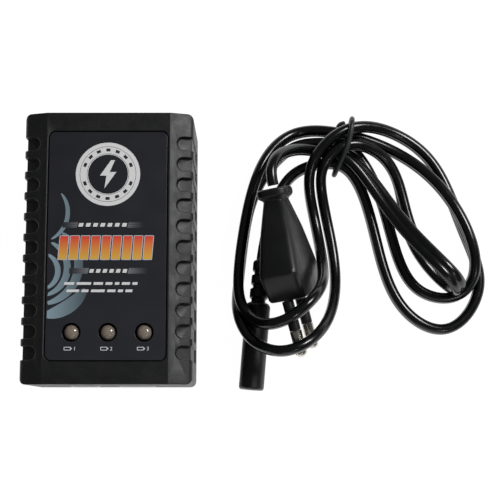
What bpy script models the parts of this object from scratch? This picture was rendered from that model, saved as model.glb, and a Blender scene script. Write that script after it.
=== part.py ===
"""Three-cell balance battery charger with its detached mains lead, for Blender 4.5.

Metres, +Z up. The origin is under the middle of the charger's case, on the surface it stands on. The case
is long in Y: the mains inlet is in the +Y end, the balance sockets are in the -Y end. The lead lies beside
the case at +X. Sizes below are millimetres; every builder takes millimetres and makes metres.
"""

import math

import bmesh
import bpy
import numpy as np
from mathutils import Matrix, Vector

MM = 0.001
GAP = 0.3  # clearance between touching pieces

# Case
CASE_LENGTH = 88.0
CASE_WIDTH = 55.0
CASE_HEIGHT = 35.0
PART_LINE = 17.5  # height of the joint between the two shells
CORNER_RADIUS = 2.0
PLATEAU_WIDTH = 40.0  # flat middle of the top
SHOULDER_DROP = 2.6  # how far the shoulders fall from the plateau to the side
SIDE_RADIUS = 1.8
FOOT_RADIUS = 1.2
WALL = 2.0

# Grip grooves: U shapes that start on the shoulder and run down the side
GROOVE_COUNT = 11
GROOVE_PITCH = 6.8
GROOVE_WIDTH = 4.4
GROOVE_DEPTH = 1.8
GROOVE_SIDE_DEPTH = 0.6  # the slots are shallower down the side than on the shoulder
GROOVE_START = 22.2  # rounded inner end, from the middle of the case
GROOVE_FOOT = 6.0

# Label panel
LABEL_WIDTH = 38.2
LABEL_LENGTH = 74.0
LABEL_SHIFT = 0.6  # towards +Y
LABEL_RADIUS = 2.0
LABEL_THICKNESS = 0.4
LABEL_SINK = 0.3  # how far its face lies below the plateau

# Indicator lamps
LED_PITCH = 11.6
LED_SHIFT = 0.7  # towards +X
LED_Y = -27.5
LED_RADIUS = 2.5
LED_HOLE_RADIUS = LED_RADIUS + 0.5
LED_FLANGE_RADIUS = LED_RADIUS + 0.3
LED_SHOULDER = CASE_HEIGHT - 2.0  # height where the dome starts
LED_LEG = 0.5
LED_LEG_PITCH = 2.54

# Underside
STICKER_SIZE = (34.0, 24.0)
STICKER_THICKNESS = 0.2
SCREW_X = CASE_WIDTH / 2 - 8.0
SCREW_Y = CASE_LENGTH / 2 - 6.8
SCREW_RADIUS = 1.3
SCREW_HEAD_RADIUS = 2.4
SCREW_HEAD_HEIGHT = 1.8
SCREW_LENGTH = 22.0
POST_RADIUS = 3.6
COUNTERBORE = 3.2  # depth of the hole over the screw head

# Circuit board
BOARD_THICKNESS = 1.6
BOARD_BOTTOM = 4.2
BOARD_CLEARANCE = 1.0  # board edge to wall
BOARD_TOP = BOARD_BOTTOM + BOARD_THICKNESS
SEAT = BOARD_TOP + GAP  # where the components stand
STANDOFF_RADIUS = 2.0
STANDOFF_PLACE = (18.0, 20.0)

# Mains connector of the lead, which the inlet is made to fit
CONNECTOR_WIDTH = 15.2
CONNECTOR_THICKNESS = 8.4
CONNECTOR_BODY = 29.0
RELIEF_LENGTH = 15.0
RELIEF_RIBS = 3
CONTACT_PITCH = 8.6
CONTACT_HOLE_RADIUS = 1.9
CONTACT_HOLE_DEPTH = 14.0
CONTACT_SUNK = 2.0  # contact below the connector's mouth

# Mains inlet
INLET_FIT = 0.35  # clearance round the connector
INLET_WIDTH = 20.0
INLET_DEPTH = 16.0
INLET_RECESS = 12.0
INLET_PROUD = 0.2
INLET_TOP = PART_LINE - GAP
INLET_PIN_RADIUS = 1.2
INLET_PIN_SUNK = 1.5  # tip below the inlet's face
INLET_PIN_TAIL = 3.0

# Balance sockets
SOCKET_PITCH = 2.5
SOCKET_MARGIN = 4.8  # body width over the pins' span
SOCKET_HEIGHT = 5.75
SOCKET_DEPTH = 7.5
SOCKET_WALL = 0.8
SOCKET_PIN = 0.64
SOCKET_PIN_TAIL = 2.0
SOCKETS = (("balance_socket_2s", 3, -9.5), ("balance_socket_3s", 4, 8.0))

# Mains plug
PLUG_WIDTH = 35.3
PLUG_THICKNESS = 12.8
PLUG_LENGTH = 37.0
PLUG_WIDEST = 28.0  # from the collar's back to the widest section
PLUG_NOSE_WIDTH = 25.0
COLLAR_SIZE = (12.5, 11.2)
COLLAR_LENGTH = 3.2
NECK_SIZE = (10.0, 7.2)
PIN_PITCH = 18.6
PIN_RADIUS = 2.0
PIN_LENGTH = 19.0
SLEEVE_LENGTH = 10.0
SLEEVE_RADIUS = 1.9
PIN_CORE_RADIUS = 1.2
PLUG_PLACE = (59.1, -5.8, 18.0)  # its axis at the widest section
PLUG_YAW = 11.0
PLUG_NOSE_DOWN = 9.0
PLUG_LEAN = 16.5
CONNECTOR_PLACE = (46.28, -45.0, 7.65)  # middle of its mouth
CONNECTOR_YAW = -4.7

# Flat twin cord: CORD_THICKNESS thick and wider than that, so a plain round tube stands for it
CORD_THICKNESS = 3.6
CORD_SIDES = 2
CORD_POINTS = 80
CORD_ROUTE = (
    (53.65, 22.3, 22.5),
    (53.0, 26.7, 22.8),
    (54.4, 31.6, 20.2),
    (58.6, 35.6, 14.2),
    (64.4, 37.6, 8.8),
    (70.8, 37.3, 6.4),
    (77.8, 35.5, 8.0),
    (84.3, 30.5, 8.4),
    (92.8, 18.5, 9.6),
    (101.3, 6.5, 13.4),
    (111.2, -5.0, 17.4),
    (115.1, -9.0, 15.2),
    (116.7, -10.7, 9.7),
    (115.1, -9.0, 4.2),
    (111.3, -5.1, 1.9),
    (102.3, 8.5, 2.2),
    (97.8, 26.5, 3.0),
    (90.8, 36.5, 6.5),
    (79.3, 38.5, 11.3),
    (71.8, 32.5, 10.2),
    (70.8, 23.5, 4.8),
    (74.3, 4.5, 3.0),
    (74.8, -12.0, 8.0),
    (67.3, -28.0, 25.0),
    (56.8, -33.0, 27.5),
    (47.3, -29.5, 20.0),
    (43.3, -24.0, 17.3),
    (41.5, -16.5, 9.3),
    (42.0, -8.0, 4.0),
    (43.6, 6.0, 3.0),
    (48.3, 24.5, 3.0),
    (59.8, 38.6, 3.2),
    (69.3, 40.9, 3.6),
    (78.3, 39.8, 5.0),
    (83.8, 36.5, 3.0),
    (90.3, 24.5, 3.0),
    (95.3, 7.0, 3.0),
    (102.8, -9.5, 3.0),
    (113.8, -13.5, 3.0),
    (120.2, -10.6, 4.2),
    (122.8, -1.5, 8.6),
    (114.3, 20.5, 8.8),
    (97.8, 37.0, 3.8),
    (78.3, 43.9, 5.2),
    (61.8, 44.4, 3.4),
    (49.8, 31.5, 8.6),
    (43.6, 8.0, 8.9),
    (42.0, -7.0, 11.0),
    (43.0, -16.5, 16.0),
    (46.8, -22.0, 20.0),
    (53.3, -24.2, 27.4),
    (60.2, -21.5, 30.3),
    (66.7, -15.6, 28.2),
    (70.6, -3.5, 10.5),
    (67.8, 16.5, 3.4),
    (67.3, 32.0, 10.2),
    (79.3, 44.0, 11.3),
    (96.3, 44.0, 5.0),
    (110.3, 33.0, 3.0),
    (120.3, 9.5, 3.0),
    (124.8, -10.0, 3.0),
    (113.8, -24.0, 3.0),
    (98.3, -16.5, 3.0),
    (89.8, 6.0, 3.0),
    (84.8, 24.0, 3.0),
    (78.3, 32.2, 5.2),
    (69.3, 33.2, 4.2),
    (58.8, 27.5, 3.2),
    (51.4, 8.0, 6.4),
    (49.9, -0.7, 7.6),
)

# Tie wire round the bundle
TIE_RADIUS = 0.9
TIE_POINTS = 40
TIE_ROUTE = (
    (80.6, 39.0, 1.1),
    (80.9, 44.9, 1.8),
    (81.2, 47.7, 5.2),
    (81.2, 48.1, 10.5),
    (80.8, 45.5, 14.5),
    (79.9, 40.3, 14.5),
    (78.4, 35.7, 13.6),
    (76.5, 32.0, 9.8),
    (75.2, 29.4, 5.3),
    (76.0, 32.1, 1.9),
    (76.7, 37.6, 1.1),
    (76.5, 43.2, 1.4),
    (76.8, 46.4, 2.9),
    (77.6, 47.5, 4.5),
    (78.8, 47.6, 5.6),
)

for leftover in list(bpy.data.objects):
    bpy.data.objects.remove(leftover)

PARTS = bpy.data.collections.new("balance_battery_charger")
CUTTERS = bpy.data.collections.new("cutters")
for group in (PARTS, CUTTERS):
    bpy.context.scene.collection.children.link(group)


# Materials


def material(name, colour, roughness, metallic=0.0):
    """A Principled material from an sRGB hex colour."""
    made = bpy.data.materials.new(name)
    made.use_nodes = True
    shader = made.node_tree.nodes["Principled BSDF"]
    channels = [int(colour[i : i + 2], 16) / 255 for i in (0, 2, 4)]
    linear = [c / 12.92 if c <= 0.04045 else ((c + 0.055) / 1.055) ** 2.4 for c in channels]
    shader.inputs["Base Color"].default_value = (*linear, 1.0)
    shader.inputs["Roughness"].default_value = roughness
    shader.inputs["Metallic"].default_value = metallic
    return made


SHELL_ABS = material("moulded_shell_abs", "15171A", 0.5)
LABEL_FILM = material("label_film", "34353C", 0.35)
LED_EPOXY = material("diffused_led_epoxy", "A39A8D", 0.3)
BOARD_EPOXY = material("board_epoxy", "1F5B34", 0.5)
SOCKET_NYLON = material("socket_nylon", "E6E2D4", 0.45)
BLACK_PLASTIC = material("black_plastic", "131313", 0.45)
TINNED_PIN = material("tinned_pin", "C8C6BE", 0.25, 1.0)
NICKEL_PIN = material("nickel_plated_brass", "CFCBC2", 0.22, 1.0)
FERRITE = material("ferrite", "2B2C2E", 0.6)
WINDING_TAPE = material("winding_tape", "C9B037", 0.4)
COIL_COPPER = material("coil_copper", "A3592C", 0.3, 1.0)
CAPACITOR_SLEEVE = material("capacitor_sleeve", "1D2640", 0.35)
FILM_CAPACITOR = material("film_capacitor", "B8A13A", 0.4)
HEAT_SINK_METAL = material("mill_aluminium", "B9BCBF", 0.4, 1.0)
SCREW_STEEL = material("zinc_plated_steel", "A9A9A4", 0.3, 1.0)
CORD_PVC = material("cord_pvc", "141414", 0.4)
STICKER_PAPER = material("sticker_paper", "B9BCC0", 0.5)


# Builders: all take millimetres


def place(location=(0, 0, 0), turn=None):
    """A world matrix in metres from a place in millimetres and a rotation matrix."""
    shift = Matrix.Translation(Vector(location) * MM)
    return shift @ turn if turn else shift


def turned_about(degrees, axis):
    return Matrix.Rotation(math.radians(degrees), 4, axis)


def link(obj, finish=None):
    """A part when it has a finish, a hidden cutter when it has none."""
    if finish:
        PARTS.objects.link(obj)
        obj.data.materials.clear()
        obj.data.materials.append(finish)
    else:
        CUTTERS.objects.link(obj)
        obj.hide_render = True
        obj.display_type = "WIRE"
    return obj


def from_bmesh(name, bm, finish=None, matrix=None):
    mesh = bpy.data.meshes.new(name)
    bmesh.ops.scale(bm, vec=(MM, MM, MM), verts=bm.verts)
    bmesh.ops.recalc_face_normals(bm, faces=bm.faces)
    bm.to_mesh(mesh)
    bm.free()
    obj = bpy.data.objects.new(name, mesh)
    obj.matrix_world = matrix or Matrix()
    return link(obj, finish)


def box(name, size, centre, finish=None, matrix=None):
    """A box of a size about a centre, with an optional world matrix over both."""
    bm = bmesh.new()
    bmesh.ops.create_cube(bm, size=1.0)
    bmesh.ops.scale(bm, vec=size, verts=bm.verts)
    bmesh.ops.translate(bm, vec=centre, verts=bm.verts)
    return from_bmesh(name, bm, finish, matrix)


def cylinder(name, radius, low, high, finish=None, matrix=None, segments=20):
    """A cylinder along its own Z between two heights."""
    bm = bmesh.new()
    bmesh.ops.create_cone(
        bm, cap_ends=True, segments=segments, radius1=radius, radius2=radius, depth=high - low
    )
    bmesh.ops.translate(bm, vec=(0, 0, (low + high) / 2), verts=bm.verts)
    return from_bmesh(name, bm, finish, matrix)


def ring(name, outer, inner, low, high, finish=None, matrix=None, segments=20):
    """A tube along its own Z, turned from its rectangular section."""
    section = ((inner, high), (outer, high), (outer, low), (inner, low), (inner, high))
    return turned(name, section, finish, matrix, segments)


def turned(name, profile, finish=None, matrix=None, segments=20):
    """A profile of (radius, height) from top to bottom, turned about its own Z by a Screw modifier."""
    mesh = bpy.data.meshes.new(name)
    points = [(radius * MM, 0, height * MM) for radius, height in profile]
    closed = profile[0] == profile[-1]
    if closed:
        points.pop()
    edges = [(i, (i + 1) % len(points)) for i in range(len(points) if closed else len(points) - 1)]
    mesh.from_pydata(points, edges, [])
    obj = bpy.data.objects.new(name, mesh)
    obj.matrix_world = matrix or Matrix()
    screw = obj.modifiers.new("Turn", "SCREW")
    screw.steps = segments
    screw.render_steps = segments
    screw.use_merge_vertices = True
    screw.merge_threshold = 1e-6
    screw.use_smooth_shade = True
    return link(obj, finish)


def filleted(corners, segments=5):
    """A closed outline from (x, y, radius) corners, with each corner's arc worked out."""
    points = []
    for i, (x, y, radius) in enumerate(corners):
        here = Vector((x, y))
        if radius <= 0:
            points.append(here)
            continue
        before = (Vector(corners[i - 1][:2]) - here).normalized()
        after = (Vector(corners[(i + 1) % len(corners)][:2]) - here).normalized()
        half = before.angle(after) / 2
        centre = here + (before + after).normalized() * radius / math.sin(half)
        start = here + before * radius / math.tan(half) - centre
        sweep = start.angle_signed(here + after * radius / math.tan(half) - centre)
        for step in range(segments + 1):
            points.append(centre + Matrix.Rotation(-sweep * step / segments, 2) @ start)
    return points


def prism(name, outline, low, high, finish=None, matrix=None):
    """A flat outline, as a filled 2D curve, extruded along its own Z between two heights."""
    curve = bpy.data.curves.new(name, "CURVE")
    curve.dimensions = "2D"
    curve.fill_mode = "BOTH"
    curve.extrude = (high - low) / 2
    spline = curve.splines.new("POLY")
    spline.points.add(len(outline) - 1)
    for point, (x, y) in zip(spline.points, outline):
        point.co = (x, y, 0, 1)
    spline.use_cyclic_u = True
    guide = bpy.data.objects.new(name, curve)
    CUTTERS.objects.link(guide)
    graph = bpy.context.evaluated_depsgraph_get()
    mesh = bpy.data.meshes.new_from_object(guide.evaluated_get(graph))
    bpy.data.objects.remove(guide)
    bm = bmesh.new()
    bm.from_mesh(mesh)
    bmesh.ops.remove_doubles(bm, verts=bm.verts, dist=1e-4)
    bmesh.ops.translate(bm, vec=(0, 0, (low + high) / 2), verts=bm.verts)
    return from_bmesh(name, bm, finish, matrix)


def rectangle(width, length, radius=0.0, centre=(0.0, 0.0)):
    """Corners of a rounded rectangle, anticlockwise."""
    return [
        (centre[0] + sx * width / 2, centre[1] + sy * length / 2, radius)
        for sx, sy in ((1, -1), (1, 1), (-1, 1), (-1, -1))
    ]


def loft(name, stations, finish, matrix=None, segments=5):
    """Rounded-rectangle sections (height, width, thickness, radius) joined along the piece's own Z.

    Width runs along its own Y and thickness along its own X.
    """
    bm = bmesh.new()
    rings = []
    for height, width, thickness, radius in stations:
        outline = filleted(rectangle(thickness, width, radius), segments)
        rings.append([bm.verts.new((x, y, height)) for x, y in outline])
    count = len(rings[0])
    for lower, upper in zip(rings, rings[1:]):
        for i in range(count):
            bm.faces.new((lower[i], lower[(i + 1) % count], upper[(i + 1) % count], upper[i]))
    bm.faces.new(rings[0][::-1])
    bm.faces.new(rings[-1])
    return from_bmesh(name, bm, finish, matrix)


def boolean(obj, operation, tool):
    """A Boolean modifier with an object, or with every object of a collection."""
    modifier = obj.modifiers.new(operation.title(), "BOOLEAN")
    modifier.operation = operation
    modifier.solver = "EXACT"
    if isinstance(tool, bpy.types.Collection):
        modifier.operand_type = "COLLECTION"
        modifier.collection = tool
    else:
        modifier.object = tool


def tool_group(name, tools):
    """A collection of cutters that one Boolean uses together."""
    group = bpy.data.collections.new(name)
    CUTTERS.children.link(group)
    for tool in tools:
        CUTTERS.objects.unlink(tool)
        group.objects.link(tool)
    return group


def smooth(points, count, crowding):
    """Points along the natural cubic spline through the route's points, closer together where it bends."""
    points = np.array(points, float)
    knots = np.r_[0, np.cumsum(np.sqrt(np.linalg.norm(np.diff(points, axis=0), axis=1)))]
    spans = np.diff(knots)
    size = len(points)
    system = np.eye(size)
    right = np.zeros((size, 3))
    for i in range(1, size - 1):
        system[i, i - 1 : i + 2] = spans[i - 1], 2 * (spans[i - 1] + spans[i]), spans[i]
        right[i] = 6 * (
            (points[i + 1] - points[i]) / spans[i] - (points[i] - points[i - 1]) / spans[i - 1]
        )
    bend = np.linalg.solve(system, right)
    fine = np.linspace(0, knots[-1], 4000)
    at = np.clip(np.searchsorted(knots, fine, side="right") - 1, 0, size - 2)
    span = spans[at][:, None]
    left = (fine - knots[at])[:, None]
    rest = span - left
    curve = (
        (bend[at] * rest**3 + bend[at + 1] * left**3) / (6 * span)
        + (points[at] / span - bend[at] * span / 6) * rest
        + (points[at + 1] / span - bend[at + 1] * span / 6) * left
    )
    steps = np.diff(curve, axis=0)
    lengths = np.linalg.norm(steps, axis=1)
    headings = steps / lengths[:, None]
    turning = np.r_[0, np.linalg.norm(np.diff(headings, axis=0), axis=1)]
    weight = np.r_[0, np.cumsum(lengths + crowding * turning)]
    wanted = np.linspace(0, weight[-1], count)
    return np.stack([np.interp(wanted, weight, curve[:, k]) for k in range(3)], axis=1)


def tube(name, points, radius, finish):
    """A wire through points: a POLY spline with a round bevel and filled caps."""
    curve = bpy.data.curves.new(name, "CURVE")
    curve.dimensions = "3D"
    curve.bevel_depth = radius * MM
    curve.bevel_resolution = CORD_SIDES
    curve.use_fill_caps = True
    spline = curve.splines.new("POLY")
    spline.points.add(len(points) - 1)
    for point, place_mm in zip(spline.points, points):
        point.co = (*(place_mm * MM), 1)
    return link(bpy.data.objects.new(name, curve), finish)


# Case


def top_outline(inset, side):
    """Shouldered section of the upper shell in X and Z, moved in by an inset above and another at the sides."""
    half = CASE_WIDTH / 2 - side
    top = CASE_HEIGHT - inset
    foot = PART_LINE + GAP / 2
    ledge = PLATEAU_WIDTH / 2 - 0.2 * inset
    radius = max(SIDE_RADIUS - inset, 0.3)
    return filleted(
        [
            (half, foot, 0),
            (half, top - SHOULDER_DROP, radius),
            (ledge, top, 0),
            (-ledge, top, 0),
            (-half, top - SHOULDER_DROP, radius),
            (-half, foot, 0),
        ]
    )


def bottom_outline(inset, side):
    """Section of the lower shell in X and Z, moved in by an inset below and another at the sides."""
    half = CASE_WIDTH / 2 - side
    radius = max(FOOT_RADIUS - inset, 0.3)
    top = PART_LINE - GAP / 2
    return filleted([(half, inset, radius), (half, top, 0), (-half, top, 0), (-half, inset, radius)], 4)


def along_case(name, outline, length, finish=None):
    """A section in X and Z extruded along Y."""
    return prism(name, outline, -length / 2, length / 2, finish, turned_about(90, "X"))


def upright(name, corners, low, high, finish=None):
    return prism(name, filleted(corners), low, high, finish)


def groove_tools():
    """The U-shaped slots down both sides, as one group of cutters."""
    tools = []
    first = -(GROOVE_COUNT - 1) / 2 * GROOVE_PITCH
    outside = CASE_WIDTH / 2 + 1
    for side in (-1, 1):
        for i in range(GROOVE_COUNT):
            y = first + i * GROOVE_PITCH
            corners = [
                (GROOVE_START, y - GROOVE_WIDTH / 2, GROOVE_WIDTH / 2),
                (outside, y - GROOVE_WIDTH / 2, 0),
                (outside, y + GROOVE_WIDTH / 2, 0),
                (GROOVE_START, y + GROOVE_WIDTH / 2, GROOVE_WIDTH / 2),
            ]
            corners = [(side * x, cy, radius) for x, cy, radius in corners][:: side]
            tools.append(upright(f"slot_{side}_{i}", corners, GROOVE_FOOT, CASE_HEIGHT + 1))
    return tool_group("slots", tools)


def shell(name, outline, slots):
    """An outer skin with slots, backed by an inset core, rounded in plan."""
    skin = along_case(name, outline(0, 0), CASE_LENGTH, SHELL_ABS)
    boolean(skin, "DIFFERENCE", slots)
    core = outline(GROOVE_DEPTH, GROOVE_SIDE_DEPTH)
    boolean(skin, "UNION", along_case(f"{name}_core", core, CASE_LENGTH - WALL))
    plan = filleted(rectangle(CASE_WIDTH, CASE_LENGTH, CORNER_RADIUS))
    boolean(skin, "INTERSECT", prism(f"{name}_plan", plan, -1, CASE_HEIGHT + 1))
    return skin


def four_places(x, y):
    return [(sx * x, sy * y) for sx in (-1, 1) for sy in (-1, 1)]


def bores_at(name, places, radius, low, high, segments=12):
    """Upright cylinders at places in X and Y, as one group of tools."""
    tools = [
        cylinder(f"{name}_{i}", radius, low, high, None, place((*where, 0)), segments)
        for i, where in enumerate(places)
    ]
    return tool_group(name, tools)


def hollow_outline(outline, opening):
    """The inside of a shell: its outline moved in past groove and wall, and run out through its open side."""
    points = outline(GROOVE_DEPTH + WALL, GROOVE_DEPTH + WALL)
    return [(x, opening if abs(z - PART_LINE) < GAP else z) for x, z in points]


def top_shell(slots):
    obj = shell("top_shell", top_outline, slots)
    inside = hollow_outline(top_outline, PART_LINE - 1)
    boolean(obj, "DIFFERENCE", along_case("top_hollow", inside, CASE_LENGTH - 2 * WALL))
    ceiling = CASE_HEIGHT - GROOVE_DEPTH - WALL
    screws = four_places(SCREW_X, SCREW_Y)
    boolean(obj, "UNION", bores_at("bosses", screws, POST_RADIUS, PART_LINE + GAP / 2, ceiling + 1, 20))
    screw_top = COUNTERBORE + SCREW_LENGTH + 1
    boolean(obj, "DIFFERENCE", bores_at("pilots", screws, SCREW_RADIUS + GAP, PART_LINE - 1, screw_top))
    holes = bores_at("lamp_holes", led_places(), LED_HOLE_RADIUS, ceiling - 1, CASE_HEIGHT, 24)
    boolean(obj, "DIFFERENCE", holes)
    recess = rectangle(LABEL_WIDTH + 2 * GAP, LABEL_LENGTH + 2 * GAP, LABEL_RADIUS + GAP, (0, LABEL_SHIFT))
    boolean(obj, "DIFFERENCE", upright("label_recess", recess, label_bottom() - GAP, CASE_HEIGHT + 1))
    return obj


def bottom_shell(slots):
    obj = shell("bottom_shell", bottom_outline, slots)
    inside = hollow_outline(bottom_outline, PART_LINE + 1)
    boolean(obj, "DIFFERENCE", along_case("bottom_hollow", inside, CASE_LENGTH - 2 * WALL))
    below = GROOVE_DEPTH + WALL - 1
    screws = four_places(SCREW_X, SCREW_Y)
    standoffs = four_places(*STANDOFF_PLACE)
    boolean(obj, "UNION", bores_at("posts", screws, POST_RADIUS, below, PART_LINE - GAP / 2, 20))
    boolean(obj, "UNION", bores_at("standoffs", standoffs, STANDOFF_RADIUS, below, BOARD_BOTTOM - GAP))
    boolean(obj, "DIFFERENCE", bores_at("screw_holes", screws, SCREW_RADIUS + GAP, -1, PART_LINE + 1))
    boolean(obj, "DIFFERENCE", bores_at("counterbores", screws, SCREW_HEAD_RADIUS + GAP, -1, COUNTERBORE, 16))
    end = CASE_LENGTH / 2
    windows = [
        box(
            "inlet_notch",
            (INLET_WIDTH + 2 * GAP, 2 * WALL + 2, PART_LINE + 1 - BOARD_TOP),
            (0, end, (PART_LINE + 1 + BOARD_TOP) / 2),
        ),
        upright(
            "sticker_recess",
            rectangle(STICKER_SIZE[0] + 2 * GAP, STICKER_SIZE[1] + 2 * GAP, LABEL_RADIUS),
            -1,
            2 * GAP + STICKER_THICKNESS,
        ),
    ]
    for name, pins, x in SOCKETS:
        size = (socket_width(pins) + 2 * GAP, 2 * WALL + 2, SOCKET_HEIGHT + 2 * GAP)
        windows.append(box(f"{name}_window", size, (x, -end, SEAT + SOCKET_HEIGHT / 2)))
    boolean(obj, "DIFFERENCE", tool_group("windows", windows))
    return obj


def label_bottom():
    return CASE_HEIGHT - LABEL_SINK - LABEL_THICKNESS


def label_panel():
    corners = rectangle(LABEL_WIDTH, LABEL_LENGTH, LABEL_RADIUS, (0, LABEL_SHIFT))
    panel = prism("label_panel", filleted(corners), label_bottom(), CASE_HEIGHT - LABEL_SINK, LABEL_FILM)
    holes = bores_at("label_holes", led_places(), LED_HOLE_RADIUS, label_bottom() - 1, CASE_HEIGHT, 24)
    boolean(panel, "DIFFERENCE", holes)


def rating_sticker():
    corners = rectangle(*STICKER_SIZE, LABEL_RADIUS - GAP)
    prism("rating_sticker", filleted(corners), GAP, GAP + STICKER_THICKNESS, STICKER_PAPER)


def case_screws():
    """Pan-head screws driven up from below."""
    head = COUNTERBORE - GAP - SCREW_HEAD_HEIGHT
    neck = COUNTERBORE - GAP
    tip = neck + SCREW_LENGTH
    profile = (
        (0, tip),
        (SCREW_RADIUS * 0.5, tip),
        (SCREW_RADIUS, tip - 1.5),
        (SCREW_RADIUS, neck),
        (SCREW_HEAD_RADIUS, neck),
        (SCREW_HEAD_RADIUS, head + 0.7),
        (SCREW_HEAD_RADIUS - 0.8, head),
        (0, head),
    )
    for i, (x, y) in enumerate(four_places(SCREW_X, SCREW_Y)):
        turned(f"case_screw_{i + 1}", profile, SCREW_STEEL, place((x, y, 0)), 12)


# Lamps


def led_places():
    return [(LED_SHIFT + column * LED_PITCH, LED_Y) for column in (-1, 0, 1)]


def leds():
    """5 mm lamps: a domed body on a flange, with two legs down to the board."""
    dome = [
        (LED_RADIUS * math.sin(angle), LED_SHOULDER + LED_RADIUS * 0.75 * math.cos(angle))
        for angle in np.linspace(0, math.pi / 2, 7)
    ]
    base = LED_SHOULDER - 5.5
    rim = base + 1
    profile = [*dome, (LED_RADIUS, rim), (LED_FLANGE_RADIUS, rim), (LED_FLANGE_RADIUS, base), (0, base)]
    for i, (x, y) in enumerate(led_places()):
        lamp = turned(f"led_{i + 1}", profile, LED_EPOXY, place((x, y, 0)), 20)
        legs = [
            box(
                f"led_{i + 1}_leg_{side}",
                (LED_LEG, LED_LEG, rim - SEAT),
                (x + side * LED_LEG_PITCH / 2, y, (rim + SEAT) / 2),
            )
            for side in (-1, 1)
        ]
        boolean(lamp, "UNION", tool_group(f"led_{i + 1}_legs", legs))


# Board and what stands on it


def circuit_board():
    """A board with its corners notched round the screw posts."""
    half_width = CASE_WIDTH / 2 - GROOVE_DEPTH - WALL - BOARD_CLEARANCE
    half_length = CASE_LENGTH / 2 - WALL - BOARD_CLEARANCE
    notch_x = SCREW_X - POST_RADIUS - BOARD_CLEARANCE
    notch_y = SCREW_Y - POST_RADIUS - BOARD_CLEARANCE
    quarter = [(notch_x, half_length, 0), (notch_x, notch_y, 0), (half_width, notch_y, 0)]
    corners = []
    for sx, sy in ((1, 1), (1, -1), (-1, -1), (-1, 1)):
        turn = [(sx * x, sy * y, radius) for x, y, radius in quarter]
        corners += turn if sx * sy > 0 else turn[::-1]
    prism("circuit_board", filleted(corners[::-1]), BOARD_BOTTOM, BOARD_TOP, BOARD_EPOXY)


def component(name, size, where, finish):
    """A box standing on the board."""
    return box(name, size, (where[0], where[1], SEAT + size[2] / 2), finish)


def can(name, radius, height, where, finish):
    """An electrolytic capacitor: a can with a rolled edge and a dished top."""
    top = SEAT + height
    profile = (
        (0, top - 0.3),
        (radius - 1.0, top - 0.3),
        (radius - 0.7, top),
        (radius - 0.3, top),
        (radius, top - 0.5),
        (radius, SEAT + 1.6),
        (radius - 0.35, SEAT + 1.2),
        (radius, SEAT + 0.8),
        (radius, SEAT),
        (0, SEAT),
    )
    turned(name, profile, finish, place((*where, 0)), 24)


def transformer():
    """A ferrite core with two windows, a spool round its middle leg and the winding on the spool."""
    where = (4.0, -3.0)
    length, width, height = 19.0, 16.0, 17.0
    leg, yoke = 5.0, 3.4
    core = component("transformer_core", (length, leg, height), where, FERRITE)
    window = ((length - leg) / 2 - yoke, leg + 2, height - 2 * yoke)
    offset = leg / 2 + window[0] / 2
    windows = [
        box(f"core_window_{side}", window, (where[0] + side * offset, where[1], SEAT + height / 2))
        for side in (-1, 1)
    ]
    boolean(core, "DIFFERENCE", tool_group("core_windows", windows))
    low = SEAT + yoke + GAP
    high = SEAT + height - yoke - GAP
    flange = leg / 2 + window[0] - GAP
    spool = leg / 2 + GAP + 0.7
    tube_hole = leg + 2 * GAP
    centre = place((*where, 0))
    cheek = 0.9
    cheeks = filleted(rectangle(2 * flange, width, 1.0))
    bobbin = prism("transformer_bobbin", cheeks, low, high, BLACK_PLASTIC, centre)
    groove = prism("bobbin_groove", filleted(rectangle(40, 40)), low + cheek, high - cheek, None, centre)
    boolean(groove, "DIFFERENCE", square_bore("bobbin_spool", 2 * spool, 1.0, low, high, centre))
    boolean(bobbin, "DIFFERENCE", groove)
    boolean(bobbin, "DIFFERENCE", square_bore("bobbin_bore", tube_hole, 0.0, low - 1, high + 1, centre))
    turns = filleted(rectangle(2 * flange - 0.6, width - 1.0, 2.0))
    coil_low, coil_high = low + cheek + GAP, high - cheek - GAP
    winding = prism("transformer_winding", turns, coil_low, coil_high, WINDING_TAPE, centre)
    boolean(winding, "DIFFERENCE", square_bore("winding_bore", 2 * (spool + GAP), 1.0, low, high, centre))


def square_bore(name, side, radius, low, high, matrix):
    return prism(name, filleted(rectangle(side, side, radius)), low, high, None, matrix)


def choke():
    """A ring core lying flat, wound all round."""
    major, minor = 4.6, 2.3
    section = [
        (major + minor * math.sin(angle), SEAT + minor + minor * math.cos(angle))
        for angle in np.linspace(0, 2 * math.pi, 11)
    ]
    section[-1] = section[0]
    turned("common_mode_choke", section, COIL_COPPER, place((9.0, 14.0, 0)), 20)


def board_parts():
    can("bulk_capacitor", 6.3, 20.0, (-13.2, 5.0), CAPACITOR_SLEEVE)
    can("output_capacitor_1", 4.0, 12.0, (-16.0, -8.0), CAPACITOR_SLEEVE)
    can("output_capacitor_2", 4.0, 12.0, (-16.0, -17.5), CAPACITOR_SLEEVE)
    component("suppression_capacitor", (13.0, 6.0, 11.0), (-13.0, 22.5), FILM_CAPACITOR)
    component("bridge_rectifier", (6.4, 4.6, 3.0), (-18.0, 15.4), BLACK_PLASTIC)
    component("mains_fuse", (8.4, 4.2, 8.0), (15.0, 24.5), BLACK_PLASTIC)
    component("heat_sink", (1.6, 22.0, 18.0), (20.4, -4.0), HEAT_SINK_METAL)
    component("power_transistor", (4.4, 10.0, 14.0), (17.0, -4.0), BLACK_PLASTIC)
    component("optocoupler", (6.5, 4.6, 3.4), (-7.0, -14.5), BLACK_PLASTIC)
    component("charge_control_chip", (10.0, 4.0, 1.6), (7.0, -16.5), BLACK_PLASTIC)
    component("balance_control_chip", (8.7, 3.9, 1.6), (-5.0, -22.0), BLACK_PLASTIC)
    for i in range(3):
        component(f"discharge_resistor_{i + 1}", (3.2, 6.3, 0.6), ((i - 1) * 6.0, -32.0), BLACK_PLASTIC)


# Connectors in the case


def inlet_centre():
    return (SEAT + INLET_TOP) / 2


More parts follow.
